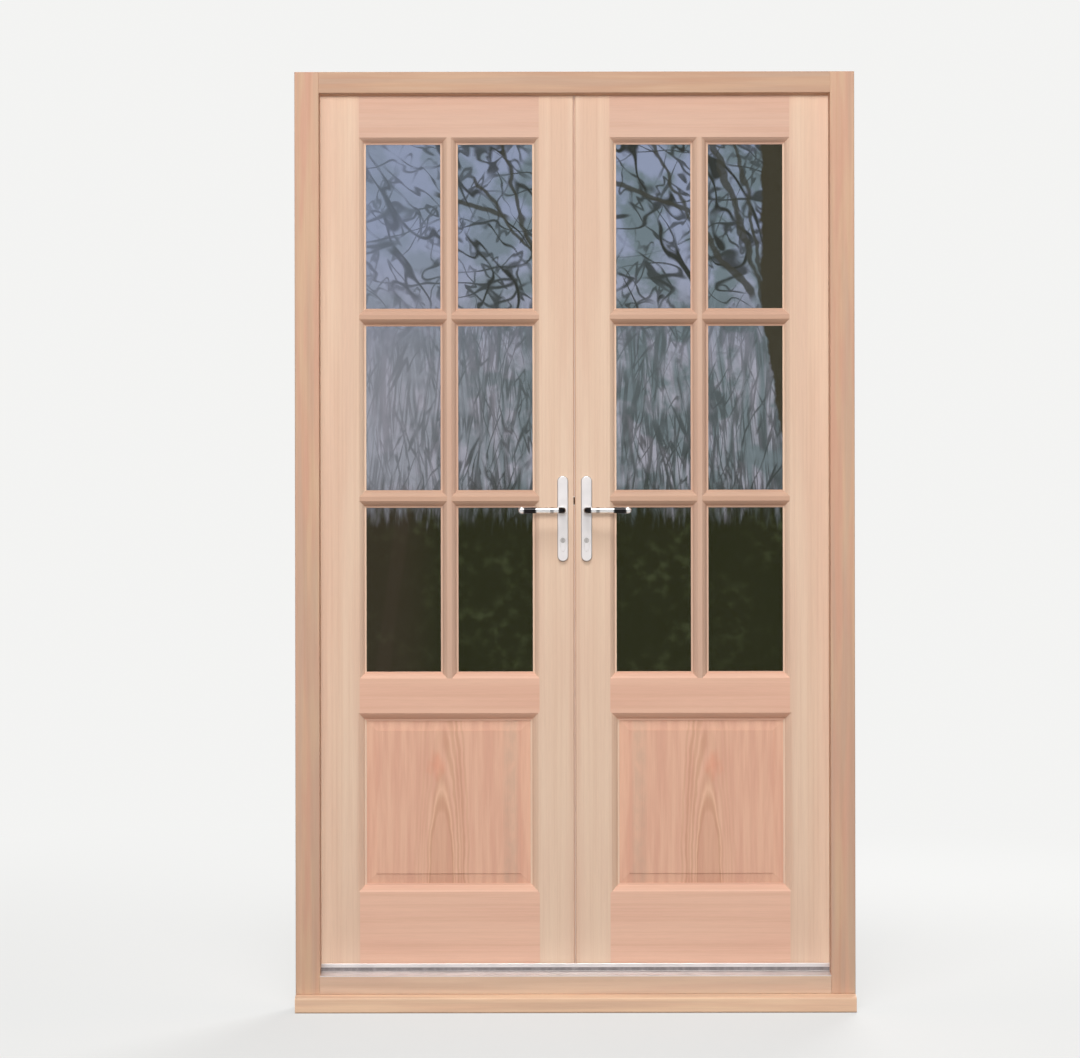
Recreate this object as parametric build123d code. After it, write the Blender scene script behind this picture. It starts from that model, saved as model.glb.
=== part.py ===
from build123d import *
import os

# Pair of timber french doors in their own frame, opening inwards.
# Millimetres. X runs right along the front, Y runs into the building and Z is up.
# The origin is under the middle of the cill, at the middle of the frame's depth.

# Frame timber
FRAME_WIDTH = 1266.0
FRAME_HEIGHT = 2125.0
FRAME_DEPTH = 94.0
JAMB_WIDTH = 55.0
HEAD_HEIGHT = 48.0
STOP_DEPTH = 47.0
REBATE = 12.0
ARRIS = 2.0
STUB_TENON = 20.0
STUB_THICKNESS = 20.0
STUB_SHOULDER = 8.0
TENON_END_GAP = 0.5

# Cill and the sill rail on it
CILL_HEIGHT = 39.0
CILL_NOSE = 25.0
CILL_FALL = 5.0
NOSE_RADIUS = 4.0
DRIP_WIDTH = 6.0
DRIP_DEPTH = 5.0
DRIP_INSET = 9.0
SILL_RAIL_HEIGHT = 40.0
SILL_BEVEL = 1.5

# Threshold bar, an extrusion under the leaves
DECK_LIP = 2.0
DECK_FALL = 5.0
UPSTAND_THICKNESS = 6.0
UPSTAND_HEIGHT = 17.0
BOX_TOP = 14.0
BOX_WALL = 2.0
MIDDLE_CHAMBER = 18.0
GASKET_HEIGHT = 8.0
GASKET_DEPTH = 2.0
GASKET_DROP = 8.5
UPSTAND_RADIUS = 1.2

# Leaves
LEAF_THICKNESS = 44.0
FLOOR_GAP = 5.0
FACE_GAP = 3.0
EDGE_GAP = 3.0
MEETING_GAP = 5.0
LEAF_ARRIS = 2.0
HINGE_STILE = 112.0
MEETING_STILE = 93.0
TOP_RAIL = 118.0
MID_RAIL = 112.0
BOTTOM_RAIL = 185.0
PANEL_HEIGHT = 371.0
TENON_LENGTH = 55.0
TENON_THICKNESS = 14.0
TENON_SHOULDER = 14.0

# Moulding worked on the stiles, rails and bars, wider and deeper round the panel
MOULD_WIDTH = 15.0
MOULD_DEPTH = 15.0
PANEL_MOULD_WIDTH = 18.0
PANEL_MOULD_DEPTH = 16.5
PANEL_SHIFT = 3.0
MOULD_STEP = 0.5
MOULD_FILLET = 4.0
MOULD_LIP = 1.5
MOULD_SWELL = 1.2

# Glazing
COLUMNS = 2
ROWS = 3
BAR_WIDTH = 40.0
BAR_TENON = 8.0
BAR_TENON_LENGTH = 4.0
GLASS_REBATE = 12.0
GLASS_EDGE_GAP = 2.0
PANE_THICKNESS = 4.0
SPACER_WIDTH = 8.0
SPACER_THICKNESS = 8.0
SPACER_INSET = 1.0
BEAD_HEIGHT = 11.5
BEAD_BEVEL = 6.0

# Raised and fielded panel
GROOVE_DEPTH = 10.0
PANEL_EDGE_GAP = 1.0
PANEL_FACE_GAP = 0.2
TONGUE = 9.0
FIELD_THICKNESS = 18.0
FIELD_STEP = 1.5
FIELD_MARGIN = 22.5

# Hinges
HINGE_LENGTH = 102.0
HINGE_TOP_INSET = 150.0
HINGE_BOTTOM_INSET = 225.0
HINGE_PLATE = 2.5
HINGE_PLATE_WIDTH = 35.0
HINGE_RECESS = 1.5
KNUCKLE_RADIUS = 6.0
KNUCKLE_OFFSET = 6.5
KNUCKLES = 5
KNUCKLE_GAP = 0.3
PIN_RADIUS = 3.0
PIN_CLEARANCE = 0.05
PIN_CAP_RADIUS = 5.0
PIN_CAP_HEIGHT = 3.0

# Wood screws, all alike
SCREW_RADIUS = 2.0
SCREW_HEAD_RADIUS = 4.0
SCREW_LENGTH = 28.0
SCREW_ROWS = (-38.0, -13.0, 13.0, 38.0)
SCREW_INSET = 12.0

# Lock, shared by both leaves
BACKSET = 24.5
FACEPLATE_WIDTH = 20.0
FACEPLATE_THICKNESS = 3.0
FACEPLATE_OVERLAP = 27.0
CASE_DEPTH = 45.0
CASE_THICKNESS = 14.0
CASE_WALL = 1.5
CASE_ABOVE = 75.0
CASE_BELOW = 121.0
CASE_CLEARANCE = 0.1
LEVER_AXIS = 1133.0
LOCK_CENTRES = 68.0
LATCH_RISE = 22.0
LATCH_HEIGHT = 17.0
LATCH_OUT = 10.0
LATCH_BODY = 17.5
LATCH_STEM = 8.0
LATCH_LUG = 5.0
BOLT_THICKNESS = 9.6
BOLT_PLAY = 0.5
DEAD_BOLT_RISE = 27.0
DEAD_BOLT_HEIGHT = 20.0
DEAD_BOLT_LENGTH = 34.0
SPINDLE_SIDE = 8.0
SPINDLE_PLAY = 0.05
HUB_RADIUS = 9.0
HUB_ARM = 14.0
HUB_ARM_WIDTH = 6.0
HUB_CLEARANCE = 0.1

# Shoot bolts of the second leaf
SHOOT_RADIUS = 4.0
SHOOT_CLEARANCE = 0.08
SHOOT_SETBACK = 9.5
SHOOT_INSET = 1.0
SHOOT_THROW = 18.0
KEEP_WIDTH = 22.0
KEEP_LENGTH = 60.0
KEEP_THICKNESS = 2.0
KEEP_PLAY = 1.0
KEEP_SCREWS = (18.0, 36.0)

# Cylinder
CYLINDER_RADIUS = 8.5
CYLINDER_LEG = 10.0
CYLINDER_HEIGHT = 33.0
CYLINDER_PROUD = 2.0
CYLINDER_PLAY = 0.3
PLUG_RADIUS = 6.0
PLUG_CLEARANCE = 0.05
KEYWAY_HEIGHT = 7.0
KEYWAY_WIDTH = 2.0
KEYWAY_DEPTH = 12.0
CAM_WIDTH = 9.0
CAM_RADIUS = 15.0
CAM_THICKNESS = 8.0
CAM_PLAY = 0.3

# Handles
PLATE_WIDTH = 25.0
PLATE_HEIGHT = 195.0
PLATE_BOTTOM = 1017.0
PLATE_THICKNESS = 8.0
PLATE_EDGE = 3.0
ROSE_RADIUS = 10.0
ROSE_HEIGHT = 4.0
LEVER_NECK = 6.0
LEVER_RADIUS = 6.8
LEVER_STAND = 46.0
LEVER_BEND = 13.0
LEVER_LENGTH = 101.0
LEVER_TIP_RADIUS = 7.6
LEVER_PLAY = 0.3
HANDLE_SCREW_RADIUS = 2.5
HANDLE_SCREW_HEAD = 4.5
HANDLE_SCREW_SINK = 2.5
HANDLE_SCREW_UPPER = 57.0
HANDLE_SCREW_LOWER = 34.0
HANDLE_SCREW_CLEARANCE = 0.5

# Seals
SEAL_STEM = 3.0
SEAL_STEM_DEPTH = 6.0
SEAL_BULB = 4.5
SEAL_AIR = 0.3
SEAL_INSET = 5.0
MEETING_SEAL_AIR = 0.5
MEETING_SEAL_INSET = 7.0
SEAL_NOTCH_GAP = 1.5

# Fixing holes through the jambs
FIXING_RADIUS = 5.0
FIXING_LOWEST = 200.0
FIXING_TOP_INSET = 125.0
FIXINGS = 4

# Places worked out from the sizes above
HALF_WIDTH = FRAME_WIDTH / 2
FRONT = -FRAME_DEPTH / 2
BACK = FRAME_DEPTH / 2
STOP = FRONT + STOP_DEPTH
JAMB_INNER = HALF_WIDTH - JAMB_WIDTH
REBATE_WALL = JAMB_INNER + REBATE
HEAD_UNDER = FRAME_HEIGHT - HEAD_HEIGHT
REBATE_CEILING = HEAD_UNDER + REBATE
RAIL_TOP = CILL_HEIGHT + SILL_RAIL_HEIGHT
DECK_END = RAIL_TOP + DECK_LIP + DECK_FALL
THRESHOLD_CREST = DECK_END + UPSTAND_HEIGHT

OUTER_FACE = STOP + FACE_GAP
INNER_FACE = OUTER_FACE + LEAF_THICKNESS
MIDDLE = (OUTER_FACE + INNER_FACE) / 2
HINGE_EDGE = REBATE_WALL - EDGE_GAP
MEETING_EDGE = MEETING_GAP / 2
LEAF_TOP = REBATE_CEILING - EDGE_GAP
LEAF_BOTTOM = RAIL_TOP + BOX_TOP + FLOOR_GAP

SIGHT_LOW = MEETING_EDGE + MEETING_STILE
SIGHT_HIGH = HINGE_EDGE - HINGE_STILE
PANEL_BASE = LEAF_BOTTOM + BOTTOM_RAIL
PANEL_CREST = PANEL_BASE + PANEL_HEIGHT
GLASS_BASE = PANEL_CREST + MID_RAIL
GLASS_CREST = LEAF_TOP - TOP_RAIL
LITE_WIDTH = (SIGHT_HIGH - SIGHT_LOW - (COLUMNS - 1) * BAR_WIDTH) / COLUMNS
LITE_HEIGHT = (GLASS_CREST - GLASS_BASE - (ROWS - 1) * BAR_WIDTH) / ROWS
LITE_COLUMNS = [
    (SIGHT_LOW + i * (LITE_WIDTH + BAR_WIDTH), SIGHT_LOW + i * (LITE_WIDTH + BAR_WIDTH) + LITE_WIDTH)
    for i in range(COLUMNS)
]
LITE_ROWS = [
    (GLASS_BASE + i * (LITE_HEIGHT + BAR_WIDTH), GLASS_BASE + i * (LITE_HEIGHT + BAR_WIDTH) + LITE_HEIGHT)
    for i in range(ROWS)
]
LOW_SHOULDER = SIGHT_LOW - MOULD_WIDTH
HIGH_SHOULDER = SIGHT_HIGH + MOULD_WIDTH
PANEL_REACH = (PANEL_MOULD_WIDTH + PANEL_SHIFT, PANEL_MOULD_WIDTH - PANEL_SHIFT)
PANEL_X = (LOW_SHOULDER + PANEL_REACH[0], HIGH_SHOULDER - PANEL_REACH[1])
PANEL_Z = (PANEL_BASE, PANEL_CREST)
GLASS_FACE = OUTER_FACE + MOULD_DEPTH
UNIT_THICKNESS = 2 * PANE_THICKNESS + SPACER_THICKNESS
GLASS_BACK = GLASS_FACE + UNIT_THICKNESS

HINGE_X = (HINGE_EDGE + REBATE_WALL) / 2
HINGE_Y = INNER_FACE + KNUCKLE_OFFSET
TOP_HINGE = LEAF_TOP - HINGE_TOP_INSET - HINGE_LENGTH / 2
BOTTOM_HINGE = LEAF_BOTTOM + HINGE_BOTTOM_INSET + HINGE_LENGTH / 2
HINGE_HEIGHTS = (BOTTOM_HINGE, (BOTTOM_HINGE + TOP_HINGE) / 2, TOP_HINGE)

LOCK_X = MEETING_EDGE + BACKSET
KEY_AXIS = LEVER_AXIS - LOCK_CENTRES
CASE_FRONT = MEETING_EDGE + FACEPLATE_THICKNESS
CASE_LOW = LEVER_AXIS - CASE_BELOW
CASE_HIGH = LEVER_AXIS + CASE_ABOVE
LATCH_AXIS = LEVER_AXIS + LATCH_RISE
DEAD_BOLT_AXIS = KEY_AXIS + DEAD_BOLT_RISE
SHOOT_X = MEETING_EDGE + SHOOT_SETBACK
OUTER_PLATE_FACE = OUTER_FACE - PLATE_THICKNESS
INNER_PLATE_FACE = INNER_FACE + PLATE_THICKNESS
HANDLE_SCREWS = (LEVER_AXIS + HANDLE_SCREW_UPPER, KEY_AXIS - HANDLE_SCREW_LOWER)
MEETING_SEAL_Y = OUTER_FACE + MEETING_SEAL_INSET
MEETING_SEAL_PROUD = (MEETING_GAP - MEETING_SEAL_AIR) / 2
SEAL_X = JAMB_INNER + REBATE - SEAL_INSET
SEAL_Z = HEAD_UNDER + REBATE - SEAL_INSET
SEAL_PROUD = FACE_GAP - SEAL_AIR


# Shared shapes

def block(x, y, z):
    """Box between low and high values on each axis."""
    centre = Pos((x[0] + x[1]) / 2, (y[0] + y[1]) / 2, (z[0] + z[1]) / 2)
    return centre * Box(x[1] - x[0], y[1] - y[0], z[1] - z[0])


def rod_y(radius, x, z, y):
    """Cylinder along Y between two depths."""
    return Pos(x, (y[0] + y[1]) / 2, z) * Rot(90, 0, 0) * Cylinder(radius, y[1] - y[0])


def rod_x(radius, y, z, x):
    """Cylinder along X between two places."""
    return Pos((x[0] + x[1]) / 2, y, z) * Rot(0, 90, 0) * Cylinder(radius, x[1] - x[0])


def rod_z(radius, x, y, z):
    """Cylinder along Z between two heights."""
    return Pos(x, y, (z[0] + z[1]) / 2) * Cylinder(radius, z[1] - z[0])


def prism_xz(points, y):
    """Outline given as (x, z) points, solid between two depths."""
    plane = Plane(origin=(0, y[1], 0), x_dir=(1, 0, 0), z_dir=(0, -1, 0))
    face = make_face(Polyline(*points, close=True))
    return extrude(plane * face, y[1] - y[0])


def along_x(section, x):
    """Section drawn as (z, y), solid between two places along X."""
    plane = Plane(origin=(x[1], 0, 0), x_dir=(0, 0, 1), z_dir=(-1, 0, 0))
    return extrude(plane * section, x[1] - x[0])


def along_z(section, z):
    """Section drawn as (x, y), solid between two heights."""
    return extrude(Pos(0, 0, z[0]) * section, z[1] - z[0])


def crossed(section_x, section_z, x, z):
    """Solid that shows section_x from above and section_z from the side, mitred at its corners."""
    return along_z(section_x, z) & along_x(section_z, x)


def group(pieces):
    """Separate solids kept together under one name."""
    solids = [solid for piece in pieces for solid in piece.solids()]
    return Compound(solids)


def mirrored(piece):
    """The same piece on the other side of the middle."""
    return mirror(piece, about=Plane.YZ)


def moved(piece, x, z):
    return Pos(x, 0, z) * piece


def without(piece, cuts):
    for cut in cuts:
        piece -= cut
    return piece


# Leaf joinery

def moulded_section(low, high, face, into, back, mould):
    """Section through an opening: its moulding starts at face and its straight walls end at back."""
    width, depth = mould
    step = face + into * MOULD_STEP
    lip = face + into * (depth - MOULD_LIP)
    outside = face - into * depth
    run, rise = width - MOULD_FILLET, abs(lip - step)
    swell = MOULD_SWELL / (run ** 2 + rise ** 2) ** 0.5

    def ovolo(edge, sign):
        """Flat ovolo from the lip out to the face, swelling a little towards the opening."""
        inner, outer = edge - sign * MOULD_FILLET, edge - sign * width
        crown = ((inner + outer) / 2 + sign * rise * swell, (lip + step) / 2 - into * run * swell)
        return ThreePointArc((inner, lip), crown, (outer, step))

    walls = Polyline(
        (low - MOULD_FILLET, lip), (low, lip), (low, back),
        (high, back), (high, lip), (high + MOULD_FILLET, lip),
    )
    left, right = low - width, high + width
    mouth = Polyline((right, step), (right, outside), (left, outside), (left, step))
    return make_face(walls + ovolo(high, -1) + mouth + ovolo(low, 1))


def moulded_opening(x, z, face, into, back, mould):
    """What is cut away for one opening, with mitred moulding round it."""
    section_x = moulded_section(x[0], x[1], face, into, back, mould)
    section_z = moulded_section(z[0], z[1], face, into, back, mould)
    return crossed(section_x, section_z, widened(x, 2 * mould[0]), widened(z, 2 * mould[0]))


def widened(span, by):
    return (span[0] - by, span[1] + by)


def leaf_blank():
    """Whole leaf as if it were one board, with openings, rebates and the panel groove."""
    blank = block((MEETING_EDGE, HINGE_EDGE), (OUTER_FACE, INNER_FACE), (LEAF_BOTTOM, LEAF_TOP))
    blank = fillet(blank.edges().filter_by(Axis.Z), LEAF_ARRIS)
    mould = (MOULD_WIDTH, MOULD_DEPTH)
    lite = moulded_opening(LITE_COLUMNS[0], LITE_ROWS[0], OUTER_FACE, 1, GLASS_FACE + 1, mould)
    rebate_x, rebate_z = widened(LITE_COLUMNS[0], GLASS_REBATE), widened(LITE_ROWS[0], GLASS_REBATE)
    lite += block(rebate_x, (GLASS_FACE, INNER_FACE + 1), rebate_z)
    for column in LITE_COLUMNS:
        for row in LITE_ROWS:
            blank -= moved(lite, column[0] - SIGHT_LOW, row[0] - GLASS_BASE)
    panel_mould = (PANEL_MOULD_WIDTH, PANEL_MOULD_DEPTH)
    blank -= moulded_opening(PANEL_X, PANEL_Z, OUTER_FACE, 1, MIDDLE, panel_mould)
    blank -= moulded_opening(PANEL_X, PANEL_Z, INNER_FACE, -1, MIDDLE, panel_mould)
    groove_y = widened((MIDDLE, MIDDLE), TONGUE / 2 + PANEL_FACE_GAP)
    return blank - block(widened(PANEL_X, GROOVE_DEPTH), groove_y, widened(PANEL_Z, GROOVE_DEPTH))


def openings(spans, sight, reach):
    """Openings along a member, with their sight line and how far the mitres at their ends reach."""
    return [(low, high, sight, reach) for low, high in spans]


def lites(spans, sight):
    return openings(spans, sight, (MOULD_WIDTH, MOULD_WIDTH))


def moulded_edge(spans, toward):
    """Points along a member's edge: a mitred strip of moulding beside each opening."""
    points = []
    for low, high, sight, reach in spans:
        points += [(low - reach[0], sight - toward * reach[0]), (low, sight)]
        points += [(high, sight), (high + reach[1], sight - toward * reach[1])]
    return points


def turned(points):
    return [(b, a) for a, b in points]


def stile_outline(edge, shoulder, toward, panel_reach):
    beside = openings([PANEL_Z], shoulder + toward * panel_reach, (panel_reach, panel_reach))
    inner = turned(moulded_edge(beside + lites(LITE_ROWS, shoulder + toward * MOULD_WIDTH), toward))
    return [(edge, LEAF_BOTTOM), (shoulder, LEAF_BOTTOM)] + inner + [(shoulder, LEAF_TOP), (edge, LEAF_TOP)]


def panel_opening(sight):
    return openings([PANEL_X], sight, PANEL_REACH)


def straight_edge(z):
    return [(LOW_SHOULDER, z), (HIGH_SHOULDER, z)]


def rail_tenons(z):
    """Tenons at both ends of a rail, reaching into the stiles."""
    y = (MIDDLE - TENON_THICKNESS / 2, MIDDLE + TENON_THICKNESS / 2)
    reach = MOULD_WIDTH / 2
    low = block((LOW_SHOULDER - TENON_LENGTH, LOW_SHOULDER + reach), y, z)
    high = block((HIGH_SHOULDER - reach, HIGH_SHOULDER + TENON_LENGTH), y, z)
    return low, high


def mortice_for(tenon):
    """The tenon's own room, a little longer than the tenon."""
    low, high = tenon.bounding_box().min, tenon.bounding_box().max
    return block((low.X - TENON_END_GAP, high.X + TENON_END_GAP), (low.Y, high.Y), (low.Z, high.Z))


def cross_bar_heights():
    return [(LITE_ROWS[i][1] + LITE_ROWS[i + 1][0]) / 2 for i in range(ROWS - 1)]


def bar_centre():
    return (LITE_COLUMNS[0][1] + LITE_COLUMNS[1][0]) / 2


def bar_tenon(x, z):
    y = (GLASS_FACE + BAR_TENON / 2, GLASS_FACE + 1.5 * BAR_TENON)
    return block(x, y, z)


def leaf_timber():
    """Stiles, rails, bars and panel of the right leaf, each as its own solid."""
    blank = leaf_blank()
    through = (OUTER_FACE - 1, INNER_FACE + 1)
    flat = BAR_WIDTH / 2 - MOULD_WIDTH
    middle = bar_centre()

    by_glass, by_panel = MOULD_WIDTH + TENON_SHOULDER, PANEL_MOULD_WIDTH + TENON_SHOULDER
    rails = {
        "top_rail": (moulded_edge(lites(LITE_COLUMNS, GLASS_CREST), -1), straight_edge(LEAF_TOP),
                     (GLASS_CREST + by_glass, LEAF_TOP - TENON_SHOULDER)),
        "mid_rail": (moulded_edge(panel_opening(PANEL_CREST), -1),
                     moulded_edge(lites(LITE_COLUMNS, GLASS_BASE), 1),
                     (PANEL_CREST + by_panel, GLASS_BASE - by_glass)),
        "bottom_rail": (straight_edge(LEAF_BOTTOM), moulded_edge(panel_opening(PANEL_BASE), 1),
                        (LEAF_BOTTOM + TENON_SHOULDER, PANEL_BASE - by_panel)),
    }
    pieces = {}
    low_mortices, high_mortices = [], []
    for name, (bottom, top, tenon_z) in rails.items():
        low, high = rail_tenons(tenon_z)
        pieces[name] = (blank & prism_xz(bottom + top[::-1], through)) + low + high
        low_mortices.append(mortice_for(low))
        high_mortices.append(mortice_for(high))

    right_side = turned(moulded_edge(lites(LITE_ROWS, middle + BAR_WIDTH / 2), 1))
    left_side = turned(moulded_edge(lites(LITE_ROWS, middle - BAR_WIDTH / 2), -1))
    vertical = blank & prism_xz(right_side + left_side[::-1], through)
    bar_ends = [
        (GLASS_CREST + MOULD_WIDTH - 1, GLASS_CREST + MOULD_WIDTH + BAR_TENON_LENGTH),
        (GLASS_BASE - MOULD_WIDTH - BAR_TENON_LENGTH, GLASS_BASE - MOULD_WIDTH + 1),
    ]
    for name, span in zip(("top_rail", "mid_rail"), bar_ends):
        tenon = bar_tenon((middle - flat + 1, middle + flat - 1), span)
        pieces[name] -= tenon
        vertical += tenon

    bars = []
    for z in cross_bar_heights():
        for column in LITE_COLUMNS:
            start, end = widened(column, MOULD_WIDTH)
            under, over = z - BAR_WIDTH / 2, z + BAR_WIDTH / 2
            lower = [(start, z - flat), (column[0], under), (column[1], under), (end, z - flat)]
            upper = [(end, z + flat), (column[1], over), (column[0], over), (start, z + flat)]
            bar = blank & prism_xz(lower + upper, through)
            height = (z - flat + 1, z + flat - 1)
            low = bar_tenon((start - BAR_TENON_LENGTH, start + 1), height)
            high = bar_tenon((end - 1, end + BAR_TENON_LENGTH), height)
            vertical -= low + high
            low_mortices.append(low)
            high_mortices.append(high)
            bars.append(bar + low + high)

    meeting = blank & prism_xz(stile_outline(MEETING_EDGE - 1, LOW_SHOULDER, 1, PANEL_REACH[0]), through)
    hinge = blank & prism_xz(stile_outline(HINGE_EDGE + 1, HIGH_SHOULDER, -1, PANEL_REACH[1]), through)
    pieces["meeting_stile"] = without(meeting, low_mortices)
    pieces["hinge_stile"] = without(hinge, high_mortices)
    pieces["vertical_bar"] = vertical
    pieces["cross_bars"] = group(bars)
    pieces["panel"] = raised_panel()
    return pieces


def panel_section(low, high):
    """Section of the raised panel between its sight lines, with its tongue beyond them."""
    reach = GROOVE_DEPTH - PANEL_EDGE_GAP
    tongue, field = TONGUE / 2, FIELD_THICKNESS / 2
    slope = field - FIELD_STEP
    half = [
        (low - reach, tongue), (low, tongue), (low + FIELD_MARGIN, slope), (low + FIELD_MARGIN, field),
        (high - FIELD_MARGIN, field), (high - FIELD_MARGIN, slope), (high, tongue), (high + reach, tongue),
    ]
    front = [(a, MIDDLE - b) for a, b in half]
    rear = [(a, MIDDLE + b) for a, b in half]
    return make_face(Polyline(*(front + rear[::-1]), close=True))


def raised_panel():
    x, z = widened(PANEL_X, GROOVE_DEPTH), widened(PANEL_Z, GROOVE_DEPTH)
    return crossed(panel_section(*PANEL_X), panel_section(*PANEL_Z), x, z)


def every_lite(pieces):
    """Copies of one lite's pieces at each opening of the leaf."""
    copies = [
        moved(piece, column[0] - SIGHT_LOW, row[0] - GLASS_BASE)
        for column in LITE_COLUMNS for row in LITE_ROWS for piece in pieces
    ]
    return group(copies)


def glazing():
    """Sealed units and the beads that hold them, for the right leaf."""
    column, row = LITE_COLUMNS[0], LITE_ROWS[0]
    edge = GLASS_REBATE - GLASS_EDGE_GAP
    x, z = widened(column, edge), widened(row, edge)
    inner_start = GLASS_BACK - PANE_THICKNESS
    outer = block(x, (GLASS_FACE, GLASS_FACE + PANE_THICKNESS), z)
    inner = block(x, (inner_start, GLASS_BACK), z)
    spacer_y = (GLASS_FACE + PANE_THICKNESS, inner_start)
    spacer = block(widened(x, -SPACER_INSET), spacer_y, widened(z, -SPACER_INSET))
    spacer -= block(
        widened(x, -SPACER_INSET - SPACER_WIDTH), spacer_y, widened(z, -SPACER_INSET - SPACER_WIDTH)
    )
    return {
        "panes": every_lite([outer, inner]),
        "pane_spacers": every_lite([spacer]),
        "glazing_beads": every_lite(beads(column, row)),
    }


def beads(column, row):
    """Four mitred beads of one lite, bevelled towards the room."""
    back = GLASS_BACK + BEAD_HEIGHT

    def section(low, high):
        near, far = low - BEAD_BEVEL, high + BEAD_BEVEL
        return make_face(Polyline(
            (low, GLASS_BACK - 1), (low, back - BEAD_BEVEL), (near, back), (near, back + 1),
            (far, back + 1), (far, back), (high, back - BEAD_BEVEL), (high, GLASS_BACK - 1), close=True,
        ))

    x, z = widened(column, GLASS_REBATE), widened(row, GLASS_REBATE)
    ring = block(x, (GLASS_BACK, back), z) - crossed(section(*column), section(*row), x, z)
    depth = (GLASS_BACK - 1, back + 1)
    sides = [
        [(x[0], z[0]), (x[1], z[0]), (column[1], row[0]), (column[0], row[0])],
        [(x[0], z[1]), (x[1], z[1]), (column[1], row[1]), (column[0], row[1])],
        [(x[0], z[0]), (x[0], z[1]), (column[0], row[1]), (column[0], row[0])],
        [(x[1], z[0]), (x[1], z[1]), (column[1], row[1]), (column[1], row[0])],
    ]
    return [ring & prism_xz(outline, depth) for outline in sides]


# Hinges and wood screws

def knuckle_spans():
    """Heights of the knuckles round a hinge's middle, frame knuckles at the even places."""
    pitch = HINGE_LENGTH / KNUCKLES
    starts = [-HINGE_LENGTH / 2 + i * pitch for i in range(KNUCKLES)]
    return [(start + KNUCKLE_GAP / 2, start + pitch - KNUCKLE_GAP / 2) for start in starts]


def hinge_plate_x():
    leaf = (HINGE_EDGE - HINGE_RECESS, HINGE_EDGE - HINGE_RECESS + HINGE_PLATE)
    frame = (REBATE_WALL + HINGE_RECESS - HINGE_PLATE, REBATE_WALL + HINGE_RECESS)
    return leaf, frame


def screw_at(x, y, z, turn):
    """Countersunk wood screw with its head at a place, turned from pointing along Y."""
    head = SCREW_HEAD_RADIUS - SCREW_RADIUS
    point = SCREW_LENGTH - 2 * SCREW_RADIUS
    outline = Polyline(
        (0, 0), (SCREW_HEAD_RADIUS, 0), (SCREW_RADIUS, head),
        (SCREW_RADIUS, point), (0, SCREW_LENGTH), close=True,
    )
    body = revolve(make_face(outline), Axis.Y)
    return Pos(x, y, z) * turn * body


def hinge_screws(z, direction):
    """Screws of one hinge plate, staggered across its width."""
    leaf, frame = hinge_plate_x()
    x = frame[0] if direction > 0 else leaf[1]
    centre = INNER_FACE - HINGE_PLATE_WIDTH / 2
    places = [(centre + (-1) ** i * SCREW_INSET / 2, z + dz) for i, dz in enumerate(SCREW_ROWS)]
    return [screw_at(x, y, height, Rot(0, 0, -90 * direction)) for y, height in places]


def hinge_plate(z, own_parity, x, direction):
    """One plate with its knuckles, bored for the pin and the screws."""
    low, high = z - HINGE_LENGTH / 2, z + HINGE_LENGTH / 2
    plate = block(x, (INNER_FACE - HINGE_PLATE_WIDTH, INNER_FACE), (low, high))
    for i, (start, end) in enumerate(knuckle_spans()):
        if i % 2 != own_parity:
            continue
        span = (z + start, z + end)
        plate += block(x, (INNER_FACE - 1, HINGE_Y), span)
        plate += rod_z(KNUCKLE_RADIUS, HINGE_X, HINGE_Y, span)
    plate -= rod_z(PIN_RADIUS + PIN_CLEARANCE, HINGE_X, HINGE_Y, (low - 1, high + 1))
    return without(plate, hinge_screws(z, direction))


def hinge_pin(z):
    """Pin with a button at each end, seated on the outer knuckles."""
    low, high = z - HINGE_LENGTH / 2, z + HINGE_LENGTH / 2
    seat = KNUCKLE_GAP / 2
    pin = rod_z(PIN_RADIUS, HINGE_X, HINGE_Y, (low, high))
    lower = rod_z(PIN_CAP_RADIUS, HINGE_X, HINGE_Y, (low + seat - PIN_CAP_HEIGHT, low + seat))
    upper = rod_z(PIN_CAP_RADIUS, HINGE_X, HINGE_Y, (high - seat, high - seat + PIN_CAP_HEIGHT))
    lower = fillet(lower.edges().group_by(Axis.Z)[0], PIN_CAP_HEIGHT / 2)
    upper = fillet(upper.edges().group_by(Axis.Z)[-1], PIN_CAP_HEIGHT / 2)
    return pin + lower + upper


def hinges():
    """Hinge pieces and screws on the right side."""
    leaf_x, frame_x = hinge_plate_x()
    return {
        "leaf_plates": [hinge_plate(z, 1, leaf_x, -1) for z in HINGE_HEIGHTS],
        "frame_plates": [hinge_plate(z, 0, frame_x, 1) for z in HINGE_HEIGHTS],
        "pins": [hinge_pin(z) for z in HINGE_HEIGHTS],
        "leaf_screws": [screw for z in HINGE_HEIGHTS for screw in hinge_screws(z, -1)],
        "frame_screws": [screw for z in HINGE_HEIGHTS for screw in hinge_screws(z, 1)],
    }


def plate_recess(x, z):
    """Room for a hinge plate in the timber, open towards the room."""
    return block(x, (INNER_FACE - HINGE_PLATE_WIDTH, INNER_FACE + 1), widened((z, z), HINGE_LENGTH / 2))


# Lock, bolts and cylinder, modelled for the right leaf

def cylinder_profile(x, z, grow, y):
    """Round body over a narrower leg, between two depths."""
    radius, leg = CYLINDER_RADIUS + grow, CYLINDER_LEG / 2 + grow
    foot = z + CYLINDER_RADIUS - CYLINDER_HEIGHT + CYLINDER_LEG / 2
    body = rod_y(radius, x, z, y)
    body += block((x - leg, x + leg), y, (foot, z))
    body += rod_y(leg, x, foot, y)
    return body


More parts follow.
